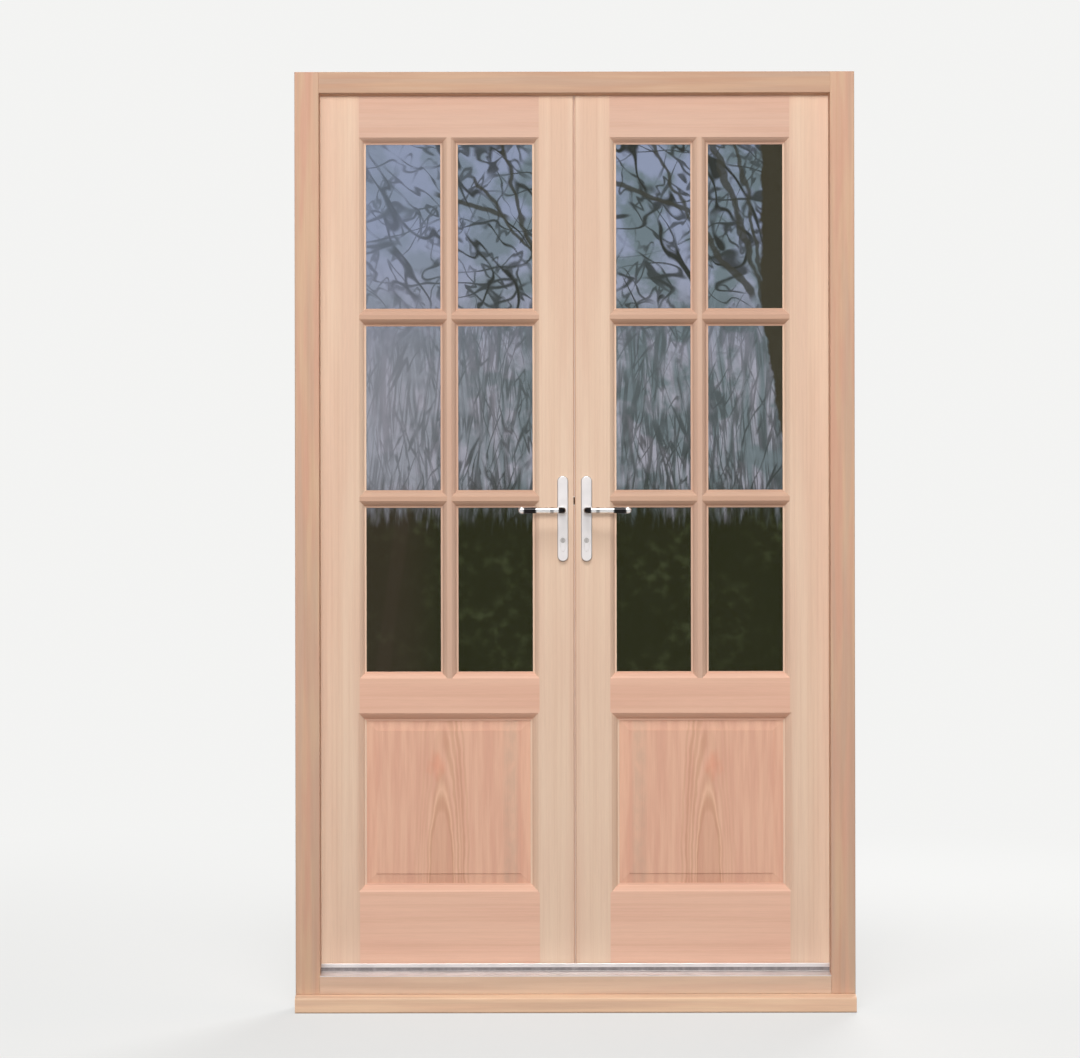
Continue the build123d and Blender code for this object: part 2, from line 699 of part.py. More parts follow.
def lock_case(shoot_holes):
    """Hollow case with its faceplate; the same pattern also serves as the other leaf's keep."""
    y = (MIDDLE - CASE_THICKNESS / 2, MIDDLE + CASE_THICKNESS / 2)
    inside_y = widened(y, -CASE_WALL)
    rear = CASE_FRONT + CASE_DEPTH - FACEPLATE_THICKNESS
    case = block((CASE_FRONT, rear), y, (CASE_LOW, CASE_HIGH))
    case += block(
        (MEETING_EDGE, CASE_FRONT), (MIDDLE - FACEPLATE_WIDTH / 2, MIDDLE + FACEPLATE_WIDTH / 2),
        (CASE_LOW - FACEPLATE_OVERLAP, CASE_HIGH + FACEPLATE_OVERLAP),
    )
    case -= block(
        (CASE_FRONT + CASE_WALL, rear - CASE_WALL), inside_y, (CASE_LOW + CASE_WALL, CASE_HIGH - CASE_WALL)
    )
    front = (MEETING_EDGE - 1, CASE_FRONT + 2 * CASE_WALL)
    slot_y = widened((MIDDLE - BOLT_THICKNESS / 2, MIDDLE + BOLT_THICKNESS / 2), BOLT_PLAY)
    latch = LATCH_HEIGHT / 2 + BOLT_PLAY
    dead = DEAD_BOLT_HEIGHT / 2 + BOLT_PLAY
    case -= block(front, slot_y, (LATCH_AXIS - latch, LATCH_AXIS + latch))
    case -= block(front, slot_y, (DEAD_BOLT_AXIS - dead, DEAD_BOLT_AXIS + dead))
    sides = widened(y, 1)
    case -= rod_y(HUB_RADIUS + HUB_CLEARANCE, LOCK_X, LEVER_AXIS, sides)
    case -= cylinder_profile(LOCK_X, KEY_AXIS, CYLINDER_PLAY, sides)
    for z in HANDLE_SCREWS:
        case -= rod_y(HANDLE_SCREW_RADIUS + HANDLE_SCREW_CLEARANCE, LOCK_X, z, sides)
    if shoot_holes:
        bore = SHOOT_RADIUS + SHOOT_CLEARANCE
        case -= rod_z(bore, SHOOT_X, MIDDLE, (CASE_LOW - 1, CASE_LOW + CASE_WALL + 1))
        case -= rod_z(bore, SHOOT_X, MIDDLE, (CASE_HIGH - CASE_WALL - 1, CASE_HIGH + 1))
    return case


def lock_mortice():
    """What is cut from the meeting stile for the lock, the furniture and their screws."""
    half = CASE_THICKNESS / 2 + CASE_CLEARANCE
    rear = CASE_FRONT + CASE_DEPTH - FACEPLATE_THICKNESS + CASE_CLEARANCE
    cut = block((MEETING_EDGE - 1, rear), (MIDDLE - half, MIDDLE + half),
                (CASE_LOW - CASE_CLEARANCE, CASE_HIGH + CASE_CLEARANCE))
    cut += block(
        (MEETING_EDGE - 1, CASE_FRONT), (MIDDLE - FACEPLATE_WIDTH / 2, MIDDLE + FACEPLATE_WIDTH / 2),
        (CASE_LOW - FACEPLATE_OVERLAP, CASE_HIGH + FACEPLATE_OVERLAP),
    )
    through = (OUTER_FACE - 1, INNER_FACE + 1)
    cut += rod_y(HUB_RADIUS, LOCK_X, LEVER_AXIS, through)
    cut += cylinder_profile(LOCK_X, KEY_AXIS, CYLINDER_PLAY, through)
    for z in HANDLE_SCREWS:
        cut += rod_y(HANDLE_SCREW_RADIUS + HANDLE_SCREW_CLEARANCE, LOCK_X, z, through)
    return cut


def follower():
    """Hub of the lock: bears in the case, takes the spindle and carries one arm."""
    y = (MIDDLE - CASE_THICKNESS / 2, MIDDLE + CASE_THICKNESS / 2)
    hub = rod_y(HUB_RADIUS, LOCK_X, LEVER_AXIS, y)
    arm_y = (MIDDLE - BOLT_THICKNESS / 2, MIDDLE + BOLT_THICKNESS / 2)
    half = HUB_ARM_WIDTH / 2
    hub += block((LOCK_X - half, LOCK_X + half), arm_y, (LEVER_AXIS, LEVER_AXIS + HUB_ARM))
    side = SPINDLE_SIDE / 2 + SPINDLE_PLAY
    hub -= block((LOCK_X - side, LOCK_X + side), widened(y, 1), (LEVER_AXIS - side, LEVER_AXIS + side))
    return hub


def spindle():
    """Square bar from lever to lever."""
    half = SPINDLE_SIDE / 2
    y = (OUTER_PLATE_FACE - ROSE_HEIGHT - LEVER_NECK, INNER_PLATE_FACE + ROSE_HEIGHT + LEVER_NECK)
    return block((LOCK_X - half, LOCK_X + half), y, (LEVER_AXIS - half, LEVER_AXIS + half))


def latch_bolt():
    """Bevelled nose, narrow stem and the lug that the follower's arm draws back."""
    y = (MIDDLE - BOLT_THICKNESS / 2, MIDDLE + BOLT_THICKNESS / 2)
    nose_x = (MEETING_EDGE - LATCH_OUT, MEETING_EDGE - LATCH_OUT + LATCH_BODY)
    half = LATCH_HEIGHT / 2
    bolt = block(nose_x, y, (LATCH_AXIS - half, LATCH_AXIS + half))
    root = nose_x[0] + LATCH_OUT - BOLT_PLAY
    bevel = Polyline(
        (nose_x[0] - 1, y[0] - 1), (root, y[0] - 1), (root, y[0]),
        (nose_x[0], y[1] - 2), (nose_x[0] - 1, y[1] - 2), close=True,
    )
    bolt -= along_z(make_face(bevel), (LATCH_AXIS - LATCH_HEIGHT, LATCH_AXIS + LATCH_HEIGHT))
    lug_x = LOCK_X + HUB_ARM_WIDTH / 2 + LEVER_PLAY
    stem = LATCH_STEM / 2
    bolt += block((nose_x[1] - 1, lug_x + LATCH_LUG), y, (LATCH_AXIS - stem, LATCH_AXIS + stem))
    bolt += block((lug_x, lug_x + LATCH_LUG), y, (LATCH_AXIS - half, LATCH_AXIS))
    return bolt


def dead_bolt():
    """Plain bolt, drawn back level with the faceplate at rest."""
    y = (MIDDLE - BOLT_THICKNESS / 2, MIDDLE + BOLT_THICKNESS / 2)
    start = MEETING_EDGE + BOLT_PLAY
    half = DEAD_BOLT_HEIGHT / 2
    return block((start, start + DEAD_BOLT_LENGTH), y, (DEAD_BOLT_AXIS - half, DEAD_BOLT_AXIS + half))


def cylinder_ends():
    return (OUTER_PLATE_FACE - CYLINDER_PROUD, INNER_PLATE_FACE + CYLINDER_PROUD)


def cam_gap():
    half = CAM_WIDTH / 2 + CAM_PLAY
    return (MIDDLE - half, MIDDLE + half)


def lock_cylinder():
    """Body of the cylinder, bored for its plug and gapped at the cam."""
    ends = cylinder_ends()
    body = cylinder_profile(LOCK_X, KEY_AXIS, 0, ends)
    body -= rod_y(PLUG_RADIUS + PLUG_CLEARANCE, LOCK_X, KEY_AXIS, widened(ends, 1))
    return body - rod_y(CAM_RADIUS + CAM_PLAY, LOCK_X, KEY_AXIS, cam_gap())


def key_plug():
    """Turning plug with a keyway at each end and the cam between."""
    ends = cylinder_ends()
    plug = rod_y(PLUG_RADIUS, LOCK_X, KEY_AXIS, ends)
    half = CAM_THICKNESS / 2
    cam_y = (MIDDLE - CAM_WIDTH / 2, MIDDLE + CAM_WIDTH / 2)
    plug += block((LOCK_X, LOCK_X + CAM_RADIUS - half), cam_y, (KEY_AXIS - half, KEY_AXIS + half))
    plug += rod_y(half, LOCK_X + CAM_RADIUS - half, KEY_AXIS, cam_y)
    slot = (LOCK_X - KEYWAY_WIDTH / 2, LOCK_X + KEYWAY_WIDTH / 2)
    key_z = (KEY_AXIS - KEYWAY_HEIGHT / 2, KEY_AXIS + KEYWAY_HEIGHT / 2)
    plug -= block(slot, (ends[0] - 1, ends[0] + KEYWAY_DEPTH), key_z)
    plug -= block(slot, (ends[1] - KEYWAY_DEPTH, ends[1] + 1), key_z)
    return plug


def shoot_bolt(low, high):
    """Round rod with a chamfered end at each height."""
    rod = rod_z(SHOOT_RADIUS, SHOOT_X, MIDDLE, (low, high))
    return chamfer(rod.edges().filter_by(GeomType.CIRCLE), SHOOT_RADIUS / 4)


def shoot_bolts():
    top = (CASE_HIGH - CASE_WALL - SHOOT_THROW - SHOOT_INSET, LEAF_TOP - SHOOT_INSET)
    bottom = (LEAF_BOTTOM + SHOOT_INSET, CASE_LOW + CASE_WALL + SHOOT_THROW + SHOOT_INSET)
    return shoot_bolt(*top), shoot_bolt(*bottom)


def shoot_channels():
    """Bores for the shoot bolts through the second leaf's stile."""
    bore = SHOOT_RADIUS + SHOOT_CLEARANCE
    upper = rod_z(bore, SHOOT_X, MIDDLE, (CASE_HIGH - 1, LEAF_TOP + 1))
    lower = rod_z(bore, SHOOT_X, MIDDLE, (LEAF_BOTTOM - 1, CASE_LOW + 1))
    return upper + lower


# Handles, modelled for the right leaf

def backplate(face, outward):
    """Narrow plate with round ends, a softened rim and a raised rose round the lever."""
    low, high = PLATE_BOTTOM, PLATE_BOTTOM + PLATE_HEIGHT
    half = PLATE_WIDTH / 2
    near, far = sorted((face, face + outward * PLATE_THICKNESS))
    y = (near, far)
    plate = block((LOCK_X - half, LOCK_X + half), y, (low + half, high - half))
    plate += rod_y(half, LOCK_X, low + half, y)
    plate += rod_y(half, LOCK_X, high - half, y)
    rim = plate.faces().sort_by(Axis.Y)[0 if outward < 0 else -1].outer_wire().edges()
    plate = fillet(rim, PLATE_EDGE)
    front = face + outward * PLATE_THICKNESS
    rose = sorted((front - outward, front + outward * ROSE_HEIGHT))
    collar = rod_y(ROSE_RADIUS, LOCK_X, LEVER_AXIS, rose)
    ring = collar.faces().sort_by(Axis.Y)[0 if outward < 0 else -1].outer_wire().edges()
    plate += fillet(ring, ROSE_HEIGHT / 4)
    through = (min(near, rose[0]) - 1, max(far, rose[1]) + 1)
    plate -= rod_y(LEVER_RADIUS + LEVER_PLAY, LOCK_X, LEVER_AXIS, through)
    return plate - cylinder_profile(LOCK_X, KEY_AXIS, CYLINDER_PLAY, through)


def lever(face, outward):
    """Round lever: neck out of the rose, one bend and a grip with a domed tip."""
    root = face + outward * (PLATE_THICKNESS - LEVER_NECK)
    reach = face + outward * (PLATE_THICKNESS + LEVER_STAND)
    bend = LEVER_BEND * outward
    end = LOCK_X + LEVER_LENGTH - LEVER_TIP_RADIUS
    arc = ((LOCK_X, reach - bend, LEVER_AXIS), (LOCK_X + LEVER_BEND, reach, LEVER_AXIS))
    path = Line((LOCK_X, root, LEVER_AXIS), arc[0])
    path += TangentArc(*arc, tangent=(0, outward, 0))
    path += Line(arc[1], (end, reach, LEVER_AXIS))
    start = Plane(origin=(LOCK_X, root, LEVER_AXIS), z_dir=(0, outward, 0))
    grip = sweep(start * Circle(LEVER_RADIUS), path=path)
    grip += Pos(end, reach, LEVER_AXIS) * Sphere(LEVER_TIP_RADIUS)
    side = SPINDLE_SIDE / 2
    socket = sorted((root - outward, face + outward * (PLATE_THICKNESS + ROSE_HEIGHT + LEVER_NECK)))
    return grip - block((LOCK_X - side, LOCK_X + side), socket, (LEVER_AXIS - side, LEVER_AXIS + side))


def handle_screw(z):
    """Machine screw from the inner plate into a blind boss in the outer one."""
    tip = OUTER_FACE - PLATE_THICKNESS / 2
    head = INNER_PLATE_FACE - HANDLE_SCREW_SINK
    screw = rod_y(HANDLE_SCREW_RADIUS, LOCK_X, z, (tip, head))
    return screw + rod_y(HANDLE_SCREW_HEAD, LOCK_X, z, (head, INNER_PLATE_FACE))


def handle_pieces():
    screws = [handle_screw(z) for z in HANDLE_SCREWS]
    plates = [without(backplate(OUTER_FACE, -1), screws), without(backplate(INNER_FACE, 1), screws)]
    return {
        "handle_plates": group(plates),
        "handle_screws": screws,
        "outer_lever": lever(OUTER_FACE, -1),
        "inner_lever": lever(INNER_FACE, 1),
        "spindle": spindle(),
        "follower": follower(),
        "cylinder": lock_cylinder(),
        "key_plug": key_plug(),
    }


# Seals

def seal_section(u, v, out, proud, axis):
    """Stem in its groove and a round bulb standing proud; out is the way that the bulb faces."""
    half = SEAL_STEM / 2
    neck = proud - SEAL_BULB / 2

    def place(a, b):
        return (u + out * b, v + a) if axis == "x" else (u + a, v + out * b)

    corners = [(-half, -SEAL_STEM_DEPTH), (half, -SEAL_STEM_DEPTH), (half, neck), (-half, neck)]
    stem = make_face(Polyline(*[place(a, b) for a, b in corners], close=True))
    tip = Polyline(place(-SEAL_BULB / 2, 0), place(SEAL_BULB / 2, 0))
    dome = ThreePointArc(place(SEAL_BULB / 2, 0), place(0, proud), place(-SEAL_BULB / 2, 0))
    return stem + make_face(tip + dome)


def seal_groove(u, v, out, axis):
    half = SEAL_STEM / 2
    corners = [(-half, -SEAL_STEM_DEPTH), (half, -SEAL_STEM_DEPTH), (half, 1), (-half, 1)]
    if axis == "x":
        points = [(u + out * b, v + a) for a, b in corners]
    else:
        points = [(u + a, v + out * b) for a, b in corners]
    return make_face(Polyline(*points, close=True))


def meeting_seal():
    """Seal along the meeting edge."""
    section = seal_section(MEETING_EDGE, MEETING_SEAL_Y, -1, MEETING_SEAL_PROUD, "x")
    return along_z(section, (LEAF_BOTTOM, LEAF_TOP))


def seal_notch():
    """Room in the second leaf's seal for the other leaf's latch to pass."""
    top = LATCH_AXIS + LATCH_HEIGHT / 2 + SEAL_NOTCH_GAP
    bottom = LATCH_AXIS - LATCH_HEIGHT / 2 - SEAL_NOTCH_GAP
    return block((-SEAL_STEM, MEETING_EDGE), (OUTER_FACE, INNER_FACE), (bottom, top))


def meeting_seal_groove():
    section = seal_groove(MEETING_EDGE, MEETING_SEAL_Y, -1, "x")
    return along_z(section, (LEAF_BOTTOM - 1, LEAF_TOP + 1))


def frame_seal_pieces():
    """Seals in the stops of both jambs and the head, and the grooves that hold them."""
    side_z = (THRESHOLD_CREST, REBATE_CEILING - SEAL_AIR)
    side = along_z(seal_section(SEAL_X, STOP, 1, SEAL_PROUD, "y"), side_z)
    side_cut = along_z(seal_groove(SEAL_X, STOP, 1, "y"), side_z)
    top_x = (-JAMB_INNER, JAMB_INNER)
    top = along_x(seal_section(SEAL_Z, STOP, 1, SEAL_PROUD, "y"), top_x)
    top_cut = along_x(seal_groove(SEAL_Z, STOP, 1, "y"), top_x)
    return side, side_cut, top, top_cut


# Frame

def jamb_section():
    return make_face(Polyline(
        (HALF_WIDTH, FRONT), (HALF_WIDTH, BACK), (REBATE_WALL, BACK), (REBATE_WALL, STOP),
        (JAMB_INNER, STOP), (JAMB_INNER, FRONT), close=True,
    ))


def cross_piece(z_stop, z_rebate, z_far):
    """Head or sill: reaches the jamb's face in front and its rebate behind."""
    front = block((-JAMB_INNER, JAMB_INNER), (FRONT, STOP), sorted((z_stop, z_far)))
    rear = block((-REBATE_WALL, REBATE_WALL), (STOP, BACK), sorted((z_rebate, z_far)))
    return front + rear


def stub_tenons(z):
    """Stub tenons of a cross piece into both jambs."""
    y = (STOP - STUB_THICKNESS, STOP)
    tenon = block((JAMB_INNER - 1, JAMB_INNER + STUB_TENON), y, z)
    return tenon + mirrored(tenon)


def head_tenon_z():
    return (REBATE_CEILING, FRAME_HEIGHT - STUB_SHOULDER)


def sill_tenon_z():
    return (CILL_HEIGHT + STUB_SHOULDER, RAIL_TOP - STUB_SHOULDER)


def sill_bevel():
    """Small bevel along the front of the joint on top of the cill."""
    far = SILL_BEVEL + 1
    corners = [(CILL_HEIGHT - 1, FRONT - 1), (CILL_HEIGHT + far, FRONT - 1), (CILL_HEIGHT - 1, FRONT + far)]
    return along_x(make_face(Polyline(*corners, close=True)), (-HALF_WIDTH - 1, HALF_WIDTH + 1))


def right_jamb(cuts):
    jamb = along_z(jamb_section(), (CILL_HEIGHT, FRAME_HEIGHT))
    corners = jamb.edges().filter_by(Axis.Z).filter_by(
        lambda edge: abs(edge.center().X - JAMB_INNER) < ARRIS or edge.center().Y < FRONT + ARRIS
    )
    jamb = fillet(corners, ARRIS)
    jamb -= sill_bevel()
    mortice_x = (JAMB_INNER - 1, JAMB_INNER + STUB_TENON + TENON_END_GAP)
    for z in (head_tenon_z(), sill_tenon_z()):
        jamb -= block(mortice_x, (STOP - STUB_THICKNESS, STOP), z)
    return without(jamb, cuts)


def jamb_fixing_holes():
    y = (STOP + BACK) / 2
    pitch = (FRAME_HEIGHT - FIXING_TOP_INSET - FIXING_LOWEST) / (FIXINGS - 1)
    heights = [FIXING_LOWEST + i * pitch for i in range(FIXINGS)]
    return [rod_x(FIXING_RADIUS, y, z, (REBATE_WALL - 1, HALF_WIDTH + 1)) for z in heights]


def head_piece(seal_cut):
    head = cross_piece(HEAD_UNDER, REBATE_CEILING, FRAME_HEIGHT)
    lower = head.edges().filter_by(Axis.X).filter_by(lambda edge: abs(edge.center().Z - HEAD_UNDER) < ARRIS)
    head = fillet(lower, ARRIS)
    return head + stub_tenons(head_tenon_z()) - seal_cut


def sill_rail():
    rail = cross_piece(RAIL_TOP, RAIL_TOP, CILL_HEIGHT) - sill_bevel()
    return rail + stub_tenons(sill_tenon_z())


def cill():
    """Full width cill: weathered nose, rounded front and a drip groove below."""
    nose = FRONT - CILL_NOSE
    section = make_face(Polyline(
        (0, nose), (CILL_HEIGHT - CILL_FALL, nose), (CILL_HEIGHT, FRONT),
        (CILL_HEIGHT, BACK), (0, BACK), close=True,
    ))
    solid = along_x(section, (-HALF_WIDTH, HALF_WIDTH))
    long_edges = solid.edges().filter_by(Axis.X)
    solid = fillet(long_edges.filter_by(lambda edge: abs(edge.center().Y - nose) < NOSE_RADIUS), NOSE_RADIUS)
    drip = (nose + DRIP_INSET, nose + DRIP_INSET + DRIP_WIDTH)
    return solid - block((-HALF_WIDTH - 1, HALF_WIDTH + 1), drip, (-1, DRIP_DEPTH))


def threshold_section():
    """Sloping deck, upstand and a box under the leaves, open below over the sill rail."""
    base = RAIL_TOP
    upstand = (STOP - UPSTAND_THICKNESS, STOP)
    box = base + BOX_TOP
    outline = Polyline(
        (base, FRONT), (base + DECK_LIP, FRONT), (DECK_END, upstand[0]), (THRESHOLD_CREST, upstand[0]),
        (THRESHOLD_CREST, upstand[1]), (box, upstand[1]), (box, BACK), (base, BACK), close=True,
    )
    section = make_face(outline)
    front_leg, rear_leg = widened((MIDDLE, MIDDLE), MIDDLE_CHAMBER / 2 + BOX_WALL)
    chambers = [
        (STOP + BOX_WALL, front_leg), widened((front_leg, rear_leg), -BOX_WALL), (rear_leg, BACK - BOX_WALL),
    ]
    for low, high in chambers:
        wall = box - BOX_WALL
        section -= make_face(Polyline((base, low), (wall, low), (wall, high), (base, high), close=True))
    return section


def gasket_span():
    """Heights of the rubber strip in the front of the upstand."""
    return (THRESHOLD_CREST - GASKET_DROP - GASKET_HEIGHT, THRESHOLD_CREST - GASKET_DROP)


def gasket_block(x, depth):
    front = STOP - UPSTAND_THICKNESS
    return block(x, (front, front + depth), gasket_span())


def threshold_bar():
    section = threshold_section()
    front = along_x(section, (-JAMB_INNER, JAMB_INNER))
    rear = along_x(section, (-REBATE_WALL, REBATE_WALL)) & block(
        (-REBATE_WALL, REBATE_WALL), (STOP, BACK), (RAIL_TOP, FRAME_HEIGHT)
    )
    long_edges = front.edges().filter_by(Axis.X)
    crest = long_edges.filter_by(lambda edge: abs(edge.center().Z - THRESHOLD_CREST) < 0.1)
    bar = fillet(crest, UPSTAND_RADIUS) + rear
    bar -= gasket_block((-JAMB_INNER, JAMB_INNER), GASKET_DEPTH)
    return bar - rod_z(SHOOT_RADIUS + KEEP_PLAY, -SHOOT_X, MIDDLE, (RAIL_TOP, RAIL_TOP + BOX_TOP + 1))


def threshold_seal():
    return gasket_block((-JAMB_INNER, JAMB_INNER), GASKET_DEPTH)


def keep_screws(z, up):
    """The two screws of a keep, their heads level with its open face."""
    turn = Rot(90, 0, 0) if up else Rot(-90, 0, 0)
    height = z[0] if up else z[1]
    return [screw_at(-SHOOT_X - away, MIDDLE, height, turn) for away in KEEP_SCREWS]


def keep_plate(z, screws):
    """Plate with a round hole for a shoot bolt and two countersunk screw holes."""
    centre = -SHOOT_X - KEEP_LENGTH / 4
    x = (centre - KEEP_LENGTH / 2, centre + KEEP_LENGTH / 2)
    plate = block(x, (MIDDLE - KEEP_WIDTH / 2, MIDDLE + KEEP_WIDTH / 2), z)
    return without(plate, screws) - rod_z(SHOOT_RADIUS + KEEP_PLAY, -SHOOT_X, MIDDLE, widened(z, 1))


def keep_spans():
    """Heights of the keep on the threshold and of the one let into the head."""
    lower = RAIL_TOP + BOX_TOP
    return (lower, lower + KEEP_THICKNESS), (REBATE_CEILING, REBATE_CEILING + KEEP_THICKNESS)


def bolt_pocket():
    """Room in the head for the upper shoot bolt."""
    reach = LEAF_TOP - SHOOT_INSET + SHOOT_THROW + KEEP_PLAY
    return rod_z(SHOOT_RADIUS + KEEP_PLAY, -SHOOT_X, MIDDLE, (REBATE_CEILING - 1, reach))


# Build every piece

def build():
    nodes = {}
    timber = leaf_timber()
    glass = glazing()
    ironmongery = hinges()
    handle = handle_pieces()
    leaf_x, frame_x = hinge_plate_x()

    hinge_cuts = [plate_recess((leaf_x[0], HINGE_EDGE + 1), z) for z in HINGE_HEIGHTS]
    timber["hinge_stile"] = without(timber["hinge_stile"], hinge_cuts + ironmongery["leaf_screws"])
    lead_stile = timber["meeting_stile"] - lock_mortice() - meeting_seal_groove()
    second_stile = lead_stile - shoot_channels()

    seal = meeting_seal()
    leaf_nodes = {
        "hinge_stile": timber["hinge_stile"],
        "top_rail": timber["top_rail"],
        "mid_rail": timber["mid_rail"],
        "bottom_rail": timber["bottom_rail"],
        "vertical_bar": timber["vertical_bar"],
        "cross_bars": timber["cross_bars"],
        "panel": timber["panel"],
        "panes": glass["panes"],
        "pane_spacers": glass["pane_spacers"],
        "glazing_beads": glass["glazing_beads"],
        "leaf_hinge_plates": group(ironmongery["leaf_plates"]),
        "leaf_screws": group(ironmongery["leaf_screws"] + handle["handle_screws"]),
        "meeting_seal": seal,
        "handle_plates": handle["handle_plates"],
        "outer_lever": handle["outer_lever"],
        "inner_lever": handle["inner_lever"],
        "spindle": handle["spindle"],
        "follower": handle["follower"],
        "cylinder": handle["cylinder"],
        "key_plug": handle["key_plug"],
    }
    for name, piece in leaf_nodes.items():
        nodes["right_" + name] = piece
        nodes["left_" + name] = mirrored(piece)
    nodes["right_meeting_stile"] = lead_stile
    nodes["left_meeting_stile"] = mirrored(second_stile)
    nodes["left_meeting_seal"] = mirrored(seal - seal_notch())
    nodes["right_lock_case"] = lock_case(False)
    nodes["left_lock_case"] = mirrored(lock_case(True))
    nodes["latch_bolt"] = latch_bolt()
    nodes["dead_bolt"] = dead_bolt()
    top_bolt, bottom_bolt = shoot_bolts()
    nodes["top_shoot_bolt"] = mirrored(top_bolt)
    nodes["bottom_shoot_bolt"] = mirrored(bottom_bolt)

    side_seal, side_cut, top_seal, top_cut = frame_seal_pieces()
    jamb_cuts = [plate_recess((REBATE_WALL - 1, frame_x[1]), z) for z in HINGE_HEIGHTS]
    jamb_cuts += ironmongery["frame_screws"] + jamb_fixing_holes() + [side_cut]
    jamb = right_jamb(jamb_cuts)
    nodes["right_jamb"] = jamb
    nodes["left_jamb"] = mirrored(jamb)
    low_span, high_span = keep_spans()
    low_screws, high_screws = keep_screws(low_span, False), keep_screws(high_span, True)
    keeps = [keep_plate(low_span, low_screws), keep_plate(high_span, high_screws)]
    nodes["head"] = without(head_piece(top_cut) - bolt_pocket(), [keeps[1]] + high_screws)
    nodes["sill_rail"] = without(sill_rail(), low_screws)
    nodes["cill"] = cill()
    nodes["threshold_bar"] = without(threshold_bar(), low_screws)
    nodes["threshold_seal"] = threshold_seal()
    nodes["frame_seals"] = group([side_seal, mirrored(side_seal), top_seal])
    plates, pins, screws = (ironmongery[key] for key in ("frame_plates", "pins", "frame_screws"))
    nodes["frame_hinge_plates"] = group(plates + [mirrored(plate) for plate in plates])
    nodes["hinge_pins"] = group(pins + [mirrored(pin) for pin in pins])
    nodes["frame_screws"] = group(screws + [mirrored(screw) for screw in screws] + low_screws + high_screws)
    nodes["shoot_bolt_keeps"] = group(keeps)
    return nodes


if __name__ == "__main__":
    os.makedirs("parts", exist_ok=True)
    for name, piece in build().items():
        export_step(piece, "parts/" + name + ".step")
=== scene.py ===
from math import radians

import bpy
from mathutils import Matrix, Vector


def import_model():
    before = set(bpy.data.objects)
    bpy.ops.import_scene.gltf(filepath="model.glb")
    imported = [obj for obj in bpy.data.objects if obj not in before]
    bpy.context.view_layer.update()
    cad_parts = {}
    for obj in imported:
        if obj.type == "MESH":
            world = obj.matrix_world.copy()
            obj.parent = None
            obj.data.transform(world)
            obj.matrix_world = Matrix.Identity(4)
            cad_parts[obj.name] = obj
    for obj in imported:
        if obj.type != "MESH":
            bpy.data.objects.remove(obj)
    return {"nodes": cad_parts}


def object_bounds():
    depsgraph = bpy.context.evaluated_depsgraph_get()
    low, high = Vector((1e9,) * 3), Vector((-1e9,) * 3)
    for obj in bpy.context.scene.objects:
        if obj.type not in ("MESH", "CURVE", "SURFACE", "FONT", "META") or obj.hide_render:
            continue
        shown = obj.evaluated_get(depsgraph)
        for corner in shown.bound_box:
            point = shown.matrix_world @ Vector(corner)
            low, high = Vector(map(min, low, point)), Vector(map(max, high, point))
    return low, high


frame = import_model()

CAD_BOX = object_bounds()

# Camera: straight in front, a little left of the middle, as the photograph was taken
CAMERA_PLACE = (-0.079, -7.047, 1.091)
CAMERA_ROLL = radians(0.09)
SENSOR_WIDTH = 36.0
FOCAL_PIXELS = 3096.0
IMAGE_WIDTH = 1080

# Light
SKY_FILL = 0.12
FRONT_PLACE = (-0.12, -5.5, 2.0)
FRONT_SIZE = 1.3
FRONT_POWER = 168.0
HIGH_PLACE = (-0.6, -5.8, 8.3)
HIGH_SIZE = 4.5
HIGH_POWER = 520.0
BACK_PLACE = (1.5, 5.0, 4.2)
BACK_SIZE = 2.6
BACK_POWER = 380.0
LAMP_AIM = (0.0, 0.0, 1.1)
FILL_COLOUR = (0.97, 0.99, 1.0, 1.0)
BACKGROUND = (0.90, 0.90, 0.89, 1.0)
FLOOR_BOUNCE = (0.16, 0.12, 0.09, 1.0)
FLOOR_LIT = (0.66, 0.66, 0.65, 1.0)
FLOOR_DROP = 0.0005
FLOOR_HALF = 14.0
SHADOW_SHARE = 0.34
SHADOW_NEAR = 1.2
SHADOW_FAR = 4.5


def srgb(red, green, blue):
    """Screen colour in 0..255 as a linear colour."""
    def linear(value):
        value /= 255
        return value / 12.92 if value <= 0.04045 else ((value + 0.055) / 1.055) ** 2.4
    return (linear(red), linear(green), linear(blue), 1.0)


